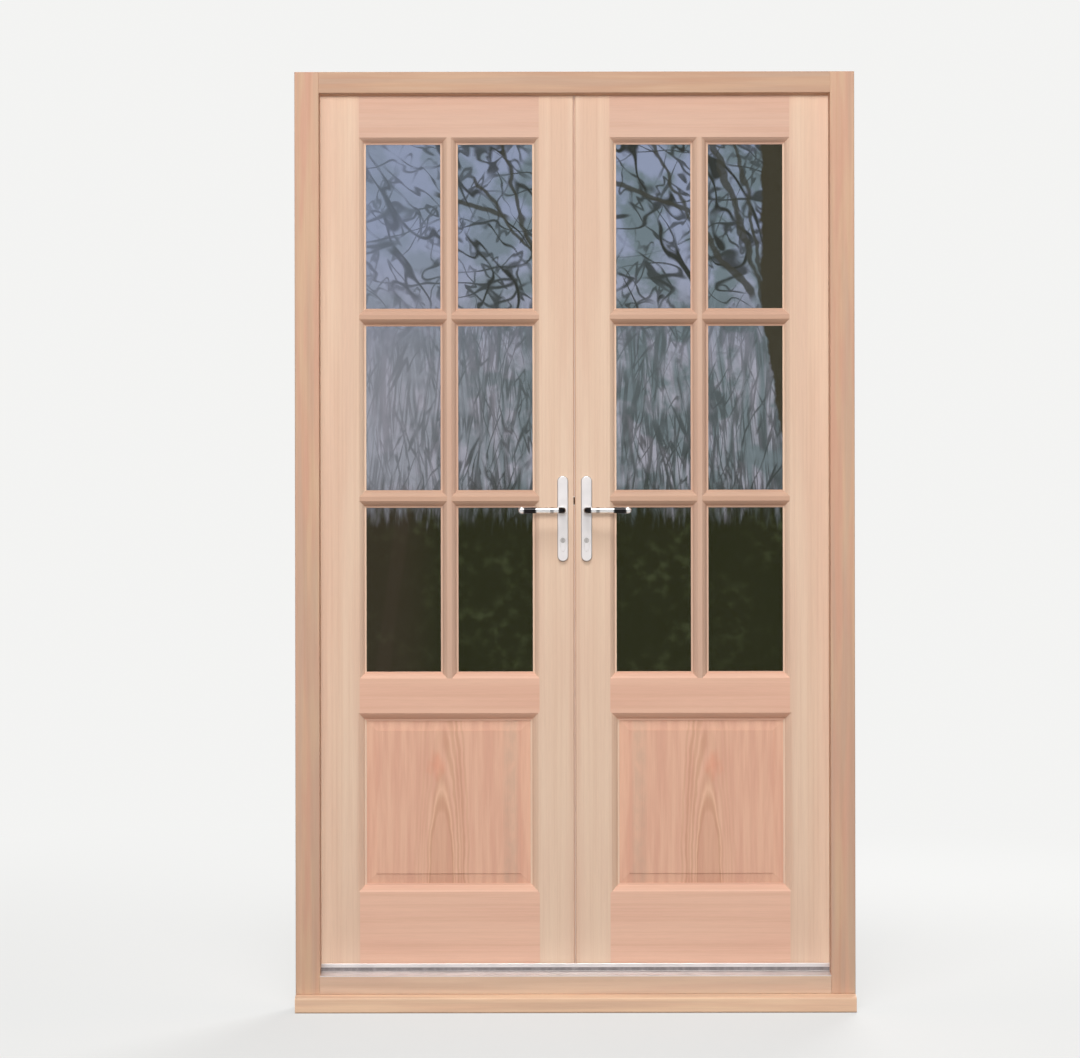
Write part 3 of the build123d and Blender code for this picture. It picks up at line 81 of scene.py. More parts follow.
class Tree:
    """Short way to write a node tree: each call adds one node and returns its first output."""

    def __init__(self, tree):
        self.tree = tree

    def node(self, kind, settings=None, **inputs):
        """A node with its inputs given by name, or by number after an underscore."""
        made = self.tree.nodes.new(kind)
        for key, value in (settings or {}).items():
            setattr(made, key, value)
        for key, value in inputs.items():
            socket = made.inputs[int(key[1:])] if key[0] == "_" else made.inputs[key.replace("_", " ")]
            self.feed(socket, value)
        return made

    def feed(self, socket, value):
        """Links another node's output to a socket, or sets the socket's own value."""
        if isinstance(value, bpy.types.NodeSocket):
            self.tree.links.new(value, socket)
        else:
            socket.default_value = value

    def math(self, operation, first, second=0.0, third=0.0):
        made = self.node("ShaderNodeMath", {"operation": operation}, _0=first, _1=second, _2=third)
        return made.outputs[0]

    def remap(self, value, low, high, to_low=0.0, to_high=1.0):
        """Eases from to_low at low to to_high at high, and holds them beyond."""
        made = self.node(
            "ShaderNodeMapRange", {"interpolation_type": "SMOOTHSTEP"},
            _0=value, _1=low, _2=high, _3=to_low, _4=to_high,
        )
        return made.outputs[0]

    def mix(self, factor, first, second, blend="MIX"):
        made = self.tree.nodes.new("ShaderNodeMix")
        made.data_type = "RGBA"
        made.blend_type = blend
        self.feed(made.inputs[0], factor)
        self.feed(made.inputs[6], first)
        self.feed(made.inputs[7], second)
        return made.outputs[2]

    def place(self, offset=(0, 0, 0), scale=(1, 1, 1), source=None):
        """Object coordinates, or other ones, shifted and stretched."""
        if source is None:
            source = self.node("ShaderNodeTexCoord").outputs["Object"]
        made = self.node("ShaderNodeMapping", Vector=source, Location=offset, Scale=scale)
        return made.outputs[0]

    def length(self, first, second):
        """Length of a flat vector."""
        squares = self.math("ADD", self.math("POWER", first, 2.0), self.math("POWER", second, 2.0))
        return self.math("SQRT", squares)

    def turned(self, source, offset, degrees, size):
        """Coordinates turned in their plane, with cells of the given size along the turned axes."""
        made = self.node(
            "ShaderNodeMapping", {"vector_type": "TEXTURE"}, Vector=source, Location=offset,
            Rotation=(0.0, 0.0, radians(degrees)), Scale=(size[0], size[1], 1.0),
        )
        return made.outputs[0]

    def most(self, *values):
        """The largest of several values."""
        chosen = values[0]
        for value in values[1:]:
            chosen = self.math("MAXIMUM", chosen, value)
        return chosen

    def vector(self, first, second, third):
        return self.node("ShaderNodeCombineXYZ", _0=first, _1=second, _2=third).outputs[0]

    def less(self, vector, other):
        """Difference of two vectors."""
        made = self.node("ShaderNodeVectorMath", {"operation": "SUBTRACT"}, _0=vector, _1=other)
        return made.outputs[0]

    def dot(self, vector, other):
        """Dot product of two vectors."""
        made = self.node("ShaderNodeVectorMath", {"operation": "DOT_PRODUCT"}, _0=vector, _1=other)
        return made.outputs["Value"]

    def parts(self, vector):
        return self.node("ShaderNodeSeparateXYZ", Vector=vector).outputs

    def matched(self):
        """Object coordinates folded about the middle of the pair, so that its two leaves match."""
        x, y, z = self.parts(self.node("ShaderNodeTexCoord").outputs["Object"])
        return self.vector(self.math("ABSOLUTE", x), y, z)

    def band(self, value, centre, half, soft):
        """1 within half of centre, falling to 0 over soft beyond that."""
        away = self.math("ABSOLUTE", self.math("SUBTRACT", value, centre))
        return self.remap(away, half, half + soft, 1.0, 0.0)

    def sway(self, value, reach):
        """A noise made to swing to either side of zero."""
        return self.math("MULTIPLY_ADD", value, reach, -reach / 2)

    def ridge(self, value, width, strength=1.0):
        """Thin lines where a noise crosses its middle value."""
        away = self.math("ABSOLUTE", self.math("SUBTRACT", value, 0.5))
        return self.remap(away, 0.25 * width, width, strength, 0.0)

    def noise(self, vector, scale, detail=2.0, roughness=0.5, distortion=0.0):
        made = self.node(
            "ShaderNodeTexNoise", Vector=vector, Scale=scale, Detail=detail, Roughness=roughness,
            Distortion=distortion,
        )
        return made.outputs[0]

    def bump(self, height, strength, distance):
        made = self.node("ShaderNodeBump", Height=height, Strength=strength, Distance=distance)
        return made.outputs[0]


def new_material(name):
    """Empty principled material, its tree and its shader."""
    material = bpy.data.materials.new(name)
    material.use_nodes = True
    shader = material.node_tree.nodes["Principled BSDF"]
    return material, Tree(material.node_tree), shader


# Timber

RING = srgb(190, 142, 114)
BLUSH = srgb(219, 146, 120)
GREY_BAND = srgb(192, 164, 144)
END_GRAIN = srgb(176, 132, 104)
END_PALE = srgb(205, 168, 141)

TIMBER_ROUGHNESS = (0.54, 0.68)
TIMBER_GLOSS = 0.18
BLUSH_SHARE = 0.9
END_SHARE = 0.8
STRETCH = 0.010
DRIFT_STRETCH = 0.07
BAND_STRETCH = 0.04
FIBRE_STRETCH = 0.02
FIBRE_SCALE = 1150.0
FIBRE_SHADE = (0.965, 1.03)
FIBRE_DEPTH = 0.0004
ARCH_CENTRE = 0.3047
ARCH_TOP = 0.4685
ARCH_RADIUS = 0.0334
ARCH_SLOPE = 0.08
ARCH_TIP = 0.004
ARCH_WANDER = 0.022
ARCH_RIPPLE = 0.008
ARCH_LINES = {0.0334: 1.0, 0.0376: 0.55, 0.0450: 0.85, 0.0510: 0.70, 0.0570: 0.85, 0.0650: 0.50}
ARCH_LINE_HALF = 0.0006
ARCH_LINE_SOFT = 0.0026
OUTER_ARCH_SHARE = 0.35
HALO = srgb(236, 194, 166)
HALO_RADIUS = 0.0355
HEART_X = 0.316
HEART_Z = 0.552
HEART_WIDTH = 0.018
HEART_HEIGHT = 0.030
GREY_SIDE_X = 0.147


def stretched(grain, factor):
    """Scale that draws a texture out along the grain."""
    return tuple(factor if axis == grain else 1.0 for axis in "xyz")


def straight_rings(tree, source, grain, seed):
    """Growth lines of a board with straight grain, from 0 to 1."""
    place = tree.place(offset=seed, scale=stretched(grain, STRETCH), source=source)
    wide = tree.noise(place, 55.0, detail=2.0, distortion=0.12)
    fine = tree.noise(place, 210.0, detail=2.0)
    broad = tree.math("MULTIPLY", tree.remap(wide, 0.35, 0.72), 0.5)
    return tree.math("MULTIPLY_ADD", tree.remap(fine, 0.45, 0.66), 0.5, broad)


def arch_radius(tree, source):
    """Size of the nested arch that passes through each point of the panels."""
    x, _, z = tree.parts(source)
    wander = tree.noise(tree.place(scale=(9.0, 9.0, 3.4), source=source), 1.0, detail=3.0)
    ripple = tree.noise(tree.place(scale=(60.0, 60.0, 20.0), source=source), 1.0, detail=2.0)
    across = tree.math("ABSOLUTE", tree.math("SUBTRACT", x, ARCH_CENTRE))
    across = tree.math("ADD", across, tree.sway(wander, ARCH_WANDER))
    across = tree.math("ADD", across, tree.sway(ripple, ARCH_RIPPLE))
    depth = tree.math("MULTIPLY_ADD", tree.math("SUBTRACT", z, ARCH_TOP), ARCH_SLOPE, ARCH_RADIUS)
    depth = tree.math("MAXIMUM", depth, ARCH_TIP)
    return tree.length(across, depth)


def arched_rings(tree, source, radius):
    """Growth lines of the panels, from 0 to 1: nested arches, plain beside them by the meeting stiles."""
    x = tree.parts(source)[0]
    lines = [
        tree.math("MULTIPLY", tree.band(radius, size, ARCH_LINE_HALF, ARCH_LINE_SOFT), strength)
        for size, strength in ARCH_LINES.items()
    ]
    inner = tree.most(*lines[:2])
    beside = tree.remap(x, ARCH_CENTRE - 0.01, ARCH_CENTRE, 1.0, OUTER_ARCH_SHARE)
    outer = tree.math("MULTIPLY", tree.most(*lines[2:]), beside)
    core = tree.remap(radius, ARCH_RADIUS - 0.003, ARCH_RADIUS, 0.45, 0.0)
    return tree.most(inner, outer, core)


def panel_tints(tree, source, radius, colour):
    """The panels' pale ring, their redder heart above the arches and their greyer side."""
    x, _, z = tree.parts(source)
    halo = tree.math("MULTIPLY", tree.band(radius, HALO_RADIUS, ARCH_LINE_HALF, 0.0016), 0.7)
    colour = tree.mix(halo, colour, HALO)
    wander = tree.noise(tree.place(scale=(60.0, 60.0, 34.0), source=source), 1.0, detail=3.0)
    across = tree.math("DIVIDE", tree.math("SUBTRACT", x, HEART_X), HEART_WIDTH)
    along = tree.math("DIVIDE", tree.math("SUBTRACT", z, HEART_Z), HEART_HEIGHT)
    reach = tree.math("ADD", tree.math("POWER", across, 2.0), tree.math("POWER", along, 2.0))
    heart = tree.remap(tree.math("MULTIPLY_ADD", wander, 3.4, reach), 1.2, 3.6, 0.50, 0.0)
    colour = tree.mix(heart, colour, BLUSH)
    side = tree.band(x, GREY_SIDE_X, 0.008, 0.014)
    side = tree.math("MULTIPLY", side, tree.remap(wander, 0.25, 0.7, 0.15, 0.45))
    return tree.mix(side, colour, GREY_BAND)


def drifting_colour(tree, source, grain, seed, tones, streak, grey):
    """Colour that drifts between two tones, and into greyer bands, in streaks along the grain."""
    place = tree.place(offset=seed, scale=stretched(grain, DRIFT_STRETCH), source=source)
    drift = tree.remap(tree.noise(place, streak, detail=2.0), 0.34, 0.66)
    colour = tree.mix(tree.math("MULTIPLY", drift, BLUSH_SHARE), *tones)
    if not grey:
        return colour
    place = tree.place(offset=seed[::-1], scale=stretched(grain, BAND_STRETCH), source=source)
    band = tree.remap(tree.noise(place, 0.9 * streak, detail=1.0), 0.44, 0.64, 0.0, grey)
    return tree.mix(band, colour, GREY_BAND)


def with_end_grain(tree, grain, seed, colour):
    """The given colour, with darker end grain on the faces across the fibres."""
    normal = tree.node("ShaderNodeTexCoord").outputs["Normal"]
    facing = tree.math("ABSOLUTE", tree.parts(normal)["xyz".index(grain)])
    share = tree.math("MULTIPLY", tree.remap(facing, 0.90, 0.98), END_SHARE)
    rings = tree.noise(tree.place(offset=seed), 420.0, detail=2.0)
    return tree.mix(share, colour, tree.mix(tree.remap(rings, 0.3, 0.7), END_GRAIN, END_PALE))


def timber(name, grain, pale, pink, seed, rings=0.22, streak=20.0, grey=0.0, arches=False, pair=False):
    """Bare sanded softwood: colour drifts across the board, growth lines and fine fibres run along it.

    grain is the axis of the fibres, rings the strength of the growth lines, streak how fine the drift of
    colour is and grey how strong the greyer bands are. With pair, the board matches one on the other leaf.
    """
    material, tree, shader = new_material(name)
    source = tree.matched() if pair else None
    colour = drifting_colour(tree, source, grain, seed, (pale, pink), streak, grey)
    if arches:
        radius = arch_radius(tree, source)
        lines = arched_rings(tree, source, radius)
        colour = panel_tints(tree, source, radius, colour)
    else:
        lines = straight_rings(tree, source, grain, seed)
    colour = tree.mix(tree.math("MULTIPLY", lines, rings), colour, RING)
    fibre_place = tree.place(offset=seed, scale=stretched(grain, FIBRE_STRETCH), source=source)
    fibre = tree.noise(fibre_place, FIBRE_SCALE, detail=2.0, roughness=0.6)
    shade = tree.remap(fibre, 0.25, 0.75, *FIBRE_SHADE)
    tone = tree.node("ShaderNodeCombineColor", Red=shade, Green=shade, Blue=shade).outputs[0]
    colour = tree.mix(1.0, colour, tone, "MULTIPLY")
    tree.feed(shader.inputs["Base Color"], with_end_grain(tree, grain, seed, colour))
    tree.feed(shader.inputs["Roughness"], tree.remap(fibre, 0.2, 0.8, *TIMBER_ROUGHNESS))
    shader.inputs["Specular IOR Level"].default_value = TIMBER_GLOSS
    height = tree.math("MULTIPLY_ADD", lines, -0.6, fibre)
    tree.feed(shader.inputs["Normal"], tree.bump(height, 0.22, FIBRE_DEPTH))
    return material


def seed_for(index):
    """Own place in the textures for each board."""
    return (1.37 * index, 0.83 * index, 2.11 * index)


# Glass, metals and rubber

# Painted shade: a near-black tint standing in for the dark room behind the panes, far darker than real glass.
GLASS_PAINTED_SHADE_TINT = (0.060, 0.066, 0.060, 1.0)
GLASS_IOR = 2.3
BRIGHT = (0.97, 0.92, 0.90, 1.0)
BRIGHT_ROUGHNESS = 0.30
HALF_METAL = 0.5
# Painted reflection: the dark grey that the plates' rounded rims are mixed toward.
PLATE_RIM_REFLECTION = (0.28, 0.26, 0.26, 1.0)
PLATE_AXIS = 0.027
PLATE_MIDDLE = 1.1145
PLATE_STRAIGHT = 0.170
PLATE_RIM = 0.0102
LEVER_CHROME = (0.82, 0.80, 0.79, 1.0)
# Painted reflection: near-black bands on the lever stand for dark surroundings mirrored in the chrome, at the
# places and widths below.
LEVER_REFLECTED_DARK = (0.020, 0.018, 0.018, 1.0)
GRIP_REFLECTION_X = 0.102
GRIP_REFLECTION_HALF = 0.012
COLLAR_REFLECTION_X = 0.029
COLLAR_REFLECTION_HALF = 0.006
SPOT_REFLECTION_X = 0.052
SPOT_REFLECTION_HALF = 0.002


def glass():
    """Glass tinted almost black: the tint is painted shade, standing in for the dark room seen through it.
    Faintly uneven.
    """
    material, tree, shader = new_material("pane_glass")
    shader.inputs["Base Color"].default_value = GLASS_PAINTED_SHADE_TINT
    shader.inputs["Roughness"].default_value = 0.0
    shader.inputs["IOR"].default_value = GLASS_IOR
    shader.inputs["Transmission Weight"].default_value = 1.0
    shader.inputs["Coat Weight"].default_value = 1.0
    shader.inputs["Coat IOR"].default_value = GLASS_IOR
    shader.inputs["Coat Roughness"].default_value = 0.0
    waves = tree.noise(tree.place(scale=(1.0, 1.0, 0.6)), 14.0, detail=1.0)
    tree.feed(shader.inputs["Normal"], tree.bump(waves, 0.012, 0.002))
    return material


def metal(name, colour, roughness, spread, grain=None, scratch=0.03, metallic=1.0):
    """Metal with fine marks, drawn out along one axis if grain is given.

    spread is how far the roughness strays to either side, and scratch how deep the marks are.
    """
    material, tree, shader = new_material(name)
    scale = stretched(grain, 0.0) if grain else (1.0, 1.0, 1.0)
    marks = tree.noise(tree.place(scale=scale), 1400.0 if grain else 500.0, detail=3.0)
    cloud = tree.noise(tree.place(), 18.0, detail=2.0)
    dark = tuple(value * 0.90 for value in colour[:3]) + (1.0,)
    tree.feed(shader.inputs["Base Color"], tree.mix(tree.remap(cloud, 0.3, 0.7), colour, dark))
    tree.feed(shader.inputs["Roughness"], tree.remap(marks, 0.2, 0.8, roughness - spread, roughness + spread))
    shader.inputs["Metallic"].default_value = metallic
    tree.feed(shader.inputs["Normal"], tree.bump(marks, scratch, 0.0001))
    return material


def rubber(name, colour, pale):
    """Rubber with a faint pale bloom."""
    material, tree, shader = new_material(name)
    bloom = tree.noise(tree.place(scale=(0.4, 1.0, 0.1)), 220.0, detail=3.0)
    tree.feed(shader.inputs["Base Color"], tree.mix(tree.remap(bloom, 0.35, 0.75), colour, pale))
    tree.feed(shader.inputs["Roughness"], tree.remap(bloom, 0.2, 0.8, 0.55, 0.8))
    shader.inputs["Specular IOR Level"].default_value = 0.3
    tree.feed(shader.inputs["Normal"], tree.bump(bloom, 0.1, 0.0002))
    return material


def plate_metal():
    """Bright satin plates with a painted dark reflection along their rounded rim."""
    material = metal("plate_chrome", BRIGHT, BRIGHT_ROUGHNESS, 0.02, scratch=0.01, metallic=HALF_METAL)
    tree = Tree(material.node_tree)
    shader = material.node_tree.nodes["Principled BSDF"]
    plain = shader.inputs["Base Color"].links[0].from_socket
    x, _, z = tree.parts(tree.matched())
    across = tree.math("SUBTRACT", x, PLATE_AXIS)
    along = tree.math("ABSOLUTE", tree.math("SUBTRACT", z, PLATE_MIDDLE))
    along = tree.math("MAXIMUM", tree.math("SUBTRACT", along, PLATE_STRAIGHT / 2), 0.0)
    out = tree.length(across, along)
    # Painted reflection: the rounded rim is mixed toward dark grey.
    rim_reflection = tree.remap(out, PLATE_RIM, PLATE_RIM + 0.0012, 0.0, 0.75)
    tree.feed(shader.inputs["Base Color"], tree.mix(rim_reflection, plain, PLATE_RIM_REFLECTION))
    return material


def lever_metal():
    """Polished chrome with painted dark reflections: a band near the end of the lever, one at its root and a
    fainter spot between.
    """
    material, tree, shader = new_material("lever_chrome")
    x, _, _ = tree.parts(tree.matched())
    marks = tree.noise(tree.place(), 500.0, detail=3.0)
    # Painted reflection: masks of the dark bands mirrored in the chrome, near the end, at the root and a
    # fainter spot between.
    grip_reflection = tree.band(x, GRIP_REFLECTION_X, GRIP_REFLECTION_HALF, 0.005)
    collar_reflection = tree.band(x, COLLAR_REFLECTION_X, COLLAR_REFLECTION_HALF, 0.004)
    spot_reflection = tree.math("MULTIPLY", tree.band(x, SPOT_REFLECTION_X, SPOT_REFLECTION_HALF, 0.004), 0.6)
    dark = tree.most(grip_reflection, collar_reflection, spot_reflection)
    tree.feed(shader.inputs["Base Color"], tree.mix(dark, LEVER_CHROME, LEVER_REFLECTED_DARK))
    tree.feed(shader.inputs["Roughness"], tree.remap(marks, 0.2, 0.8, 0.07, 0.13))
    shader.inputs["Metallic"].default_value = 1.0
    tree.feed(shader.inputs["Normal"], tree.bump(marks, 0.02, 0.0001))
    return material


# Finish of every node

JAMB_PALE = srgb(210, 176, 148)
JAMB_PINK = srgb(207, 162, 140)
HEAD_PALE = srgb(202, 168, 142)
HEAD_PINK = srgb(194, 156, 132)
SILL_PALE = srgb(218, 189, 165)
SILL_PINK = srgb(212, 180, 158)
CILL_PALE = srgb(238, 203, 172)
CILL_PINK = srgb(232, 193, 164)
STILE_PALE = srgb(226, 199, 176)
STILE_PINK = srgb(220, 189, 167)
TOP_PALE = srgb(216, 182, 162)
TOP_PINK = srgb(210, 174, 155)
RAIL_PALE = srgb(228, 186, 163)
RAIL_PINK = srgb(222, 178, 156)
BAR_PALE = srgb(211, 181, 160)
BAR_PINK = srgb(204, 169, 149)
CROSS_PALE = srgb(203, 169, 147)
CROSS_PINK = srgb(196, 159, 138)
PANEL_PALE = srgb(224, 180, 155)
PANEL_PINK = srgb(214, 165, 143)

PLATE = plate_metal()
CHROME = metal("polished_chrome", BRIGHT, BRIGHT_ROUGHNESS, 0.02, scratch=0.01, metallic=HALF_METAL)
PLUG = metal("plug_chrome", (0.62, 0.58, 0.55, 1.0), BRIGHT_ROUGHNESS, 0.03, metallic=HALF_METAL)
LEVER = lever_metal()
NICKEL = metal("satin_nickel", (0.74, 0.71, 0.66, 1.0), 0.24, 0.05)
STEEL = metal("zinc_plated_steel", (0.66, 0.67, 0.68, 1.0), 0.34, 0.08)
# The warm tint of this aluminium is a painted reflection of the timber beside it, over the metal's own pale
# grey.
TIMBER_TINTED_ALUMINIUM = metal("drawn_aluminium", (0.87, 0.81, 0.79, 1.0), 0.40, 0.03, grain="x", scratch=0.01)
SPACER = metal("spacer_aluminium", (0.60, 0.60, 0.60, 1.0), 0.42, 0.06)
BLACK_RUBBER = rubber("gasket_rubber", (0.17, 0.155, 0.155, 1.0), (0.25, 0.23, 0.23, 1.0))
TAN_RUBBER = rubber("seal_rubber", srgb(206, 170, 146), srgb(212, 177, 153))
GLASS = glass()


def frame_finish():
    """Finish of each piece of the frame."""
    jamb = ("z", JAMB_PALE, JAMB_PINK)
    boards = {
        "left_jamb": jamb, "right_jamb": jamb, "head": ("x", HEAD_PALE, HEAD_PINK),
        "sill_rail": ("x", SILL_PALE, SILL_PINK), "cill": ("x", CILL_PALE, CILL_PINK),
    }
    finish = {}
    for index, (node, (grain, pale, pink)) in enumerate(boards.items()):
        level = node in ("sill_rail", "cill")
        finish[node] = timber(
            node + "_timber", grain, pale, pink, seed_for(index + 1),
            rings=0.16 if level else 0.28, streak=50.0, grey=0.30 if level else 0.55,
        )
    finish.update({
        "threshold_bar": TIMBER_TINTED_ALUMINIUM, "threshold_seal": BLACK_RUBBER, "frame_seals": BLACK_RUBBER,
        "frame_hinge_plates": STEEL, "hinge_pins": STEEL, "frame_screws": STEEL, "shoot_bolt_keeps": STEEL,
        "latch_bolt": NICKEL, "dead_bolt": NICKEL, "top_shoot_bolt": STEEL, "bottom_shoot_bolt": STEEL,
    })
    return finish


def leaf_finish():
    """Finish of each piece of a leaf; the boards of the two leaves match about the middle."""
    boards = {
        "hinge_stile": ("z", STILE_PALE, STILE_PINK), "meeting_stile": ("z", STILE_PALE, STILE_PINK),
        "top_rail": ("x", TOP_PALE, TOP_PINK), "mid_rail": ("x", RAIL_PALE, RAIL_PINK),
        "bottom_rail": ("x", RAIL_PALE, RAIL_PINK), "vertical_bar": ("z", BAR_PALE, BAR_PINK),
        "cross_bars": ("x", CROSS_PALE, CROSS_PINK), "glazing_beads": ("z", STILE_PALE, STILE_PINK),
    }
    finish = {}
    for index, (node, (grain, pale, pink)) in enumerate(boards.items()):
        finish[node] = timber(node + "_timber", grain, pale, pink, seed_for(10 + index), pair=True)
    finish["panel"] = timber(
        "panel_timber", "z", PANEL_PALE, PANEL_PINK, seed_for(30), rings=0.55, streak=60.0,
        arches=True, pair=True,
    )
    finish.update({
        "panes": GLASS, "pane_spacers": SPACER, "leaf_hinge_plates": STEEL, "leaf_screws": STEEL,
        "meeting_seal": TAN_RUBBER, "handle_plates": PLATE, "cylinder": CHROME, "lock_case": STEEL,
        "outer_lever": LEVER, "inner_lever": LEVER, "spindle": STEEL, "follower": STEEL, "key_plug": PLUG,
    })
    return finish


def dress(finish, prefix=""):
    """Gives each carried-over piece its material."""
    for node, material in finish.items():
        piece = frame["nodes"][prefix + node]
        piece.data.materials.clear()
        piece.data.materials.append(material)


dress(frame_finish())
LEAF_FINISH = leaf_finish()
dress(LEAF_FINISH, "left_")
dress(LEAF_FINISH, "right_")


# Winter garden that gloss sees, laid out by direction from straight in front of the doors

VIEW_SCALE = 31.0
SKY_HIGH = (0.90, 1.04, 1.46, 1.0)
SKY_LOW = (1.26, 1.24, 1.46, 1.0)
CLOUD = (1.0, 1.0, 1.0, 1.0)
CLOUD_BASE = 5.0
LEAFAGE = (0.44, 0.60, 0.64, 1.0)
BRANCH = (0.10, 0.11, 0.10, 1.0)
TWIG_TOP = 2.5
BOUGH = (0.16, 0.16, 0.13, 1.0)
BOUGH_FOOT = 1.6
LIMBS = (
    ((1.70, 3.90), (2.25, 2.30), 0.026), ((1.95, 3.90), (2.25, 2.50), 0.014),
    ((1.62, 2.95), (2.10, 2.35), 0.028), ((-0.40, 3.90), (0.00, 2.55), 0.012),
    ((-0.62, 3.45), (0.05, 2.60), 0.008), ((-0.95, 3.32), (-0.35, 3.12), 0.014),
    ((0.75, 3.45), (1.55, 3.15), 0.014), ((1.10, 3.90), (1.60, 2.90), 0.008),
)
TRUNK = (0.15, 0.13, 0.08, 1.0)
TRUNK_TURN = 2.46
TRUNK_HALF = 0.23
TRUNK_LEAN = 0.16
TRUNK_BEND = 2.2
HEDGE_DARK = (0.054, 0.056, 0.012, 1.0)
HEDGE_LIGHT = (0.17, 0.20, 0.080, 1.0)
HEDGE_BROWN = (0.17, 0.11, 0.075, 1.0)
HEDGE_TOP = 0.38
HEDGE_FOOT = -1.7
STEM_TURN = -1.39
STEM_LEAN = 0.13


class Garden:
    """Lilac sky with bare branches over a dark hedge, with pale ground below and white cloud above.

    A direction is given by its turn to the right and its height, both in VIEW_SCALE to the radian.
    """

    def __init__(self, tree):
        x, y, z = tree.parts(tree.node("ShaderNodeTexCoord").outputs["Generated"])
        self.tree = tree
        self.turn = tree.math("MULTIPLY", tree.math("ARCTAN2", x, tree.math("MULTIPLY", y, -1.0)), VIEW_SCALE)
        self.height = tree.math("MULTIPLY", tree.math("ARCSINE", z), VIEW_SCALE)
        self.plane = tree.vector(self.turn, self.height, 0.0)
        self.low = tree.remap(self.height, TWIG_TOP - 0.6, TWIG_TOP, 1.0, 0.0)
        sway = tree.sway(self.blotches(0.30, 2.0, (6.0, 2.0)), 0.22)
        self.swayed = tree.vector(tree.math("ADD", self.turn, sway), self.height, 0.0)

    def blotches(self, size, detail=3.0, offset=(0.0, 0.0)):
        """Soft patches of about the given size."""
        place = self.tree.turned(self.plane, (*offset, 0.0), 0.0, (size, size))
        return self.tree.noise(place, 1.0, detail=detail)

    def streaks(self, degrees, width, run, thick, strength, offset=(0.0, 0.0)):
        """Thin dark lines drawn out along one direction, broken here and there."""
        tree = self.tree
        place = tree.turned(self.plane, (*offset, 0.0), degrees, (width, run))
        lines = tree.ridge(tree.noise(place, 1.0, detail=2.0, distortion=0.3), thick, strength)
        unbroken = tree.remap(self.blotches(0.55, 2.0, offset), 0.36, 0.52, 0.15, 1.0)
        return tree.math("MULTIPLY", lines, unbroken)

    def limb(self, start, end, half):
        """One bough between two directions."""
        tree = self.tree
        run = Vector(end) - Vector(start)
        middle = run.length / 2
        run.normalize()
        from_start = tree.less(self.swayed, (*start, 0.0))
        along = tree.band(tree.dot(from_start, (*run, 0.0)), middle, middle, 0.12)
        aside = tree.band(tree.dot(from_start, (run.y, -run.x, 0.0)), 0.0, half, 0.018)
        return tree.math("MULTIPLY", aside, along)

    def twigs(self):
        """Fine upright shoots, fainter close to the hedge."""
        tree = self.tree
        lines = tree.most(
            self.streaks(4.0, 0.07, 2.2, 0.060, 0.75),
            self.streaks(-6.0, 0.09, 1.8, 0.060, 0.80, (3.0, 1.0)),
            self.streaks(15.0, 0.13, 1.2, 0.030, 0.85, (5.0, 7.0)),
            self.streaks(-22.0, 0.16, 1.2, 0.028, 0.90, (1.0, 2.0)),
        )
        far = tree.remap(self.height, 0.2, 2.0, 1.0, 0.62)
        return tree.math("MULTIPLY", tree.math("MULTIPLY", lines, self.low), far)

    def boughs(self):
        """Winding branches higher up."""
        lines = self.tree.most(
            self.streaks(30.0, 0.46, 1.3, 0.020, 1.0, (1.0, 4.0)),
            self.streaks(46.0, 0.24, 0.7, 0.024, 0.85, (8.0, 2.0)),
            self.streaks(98.0, 0.40, 1.1, 0.020, 0.90, (2.0, 9.0)),
            self.streaks(-24.0, 0.22, 0.6, 0.026, 0.75, (4.0, 4.0)),
        )
        high = self.tree.remap(self.height, BOUGH_FOOT, BOUGH_FOOT + 0.7, 0.15, 1.0)
        return self.tree.math("MULTIPLY", lines, high)

    def veil(self):
        """How much far leafage hides the sky, from 0 to 1."""
        tree = self.tree
        tufts = tree.remap(self.blotches(0.38, 5.0, (5.0, 5.0)), 0.42, 0.58)
        drawn = tree.noise(tree.turned(self.plane, (3.0, 3.0, 0.0), 3.0, (0.09, 0.8)), 1.0, detail=3.0)
        drawn = tree.math("MULTIPLY", tree.remap(drawn, 0.35, 0.65), self.low)
        return tree.math("MULTIPLY", tree.most(tufts, drawn), tree.remap(self.turn, -1.7, 0.3, 0.30, 0.85))

    def trunk(self):
        """Trunk on the right that leans outwards lower down."""
        tree = self.tree
        below = tree.most(tree.math("SUBTRACT", TRUNK_BEND, self.height), 0.0)
        middle = tree.math("MULTIPLY_ADD", below, TRUNK_LEAN, TRUNK_TURN)
        bark = tree.sway(self.blotches(0.12), 0.10)
        across = tree.math("ADD", tree.math("SUBTRACT", self.turn, middle), bark)
        return tree.band(across, 0.0, TRUNK_HALF, 0.03)

    def sky(self):
        """Sky, the leafage far off and all the branches."""
        tree = self.tree
        sky = tree.mix(tree.remap(self.height, 1.2, 3.2), SKY_LOW, SKY_HIGH)
        sky = tree.mix(self.veil(), sky, LEAFAGE)
        crowded = tree.remap(self.turn, -2.0, -0.2, 0.50, 1.0)
        sky = tree.mix(tree.math("MULTIPLY", tree.most(self.twigs(), self.boughs()), crowded), sky, BRANCH)
        limbs = tree.most(*[self.limb(*placed) for placed in LIMBS])
        sky = tree.mix(tree.math("MULTIPLY", limbs, 0.9), sky, BOUGH)
        return tree.mix(self.trunk(), sky, TRUNK)

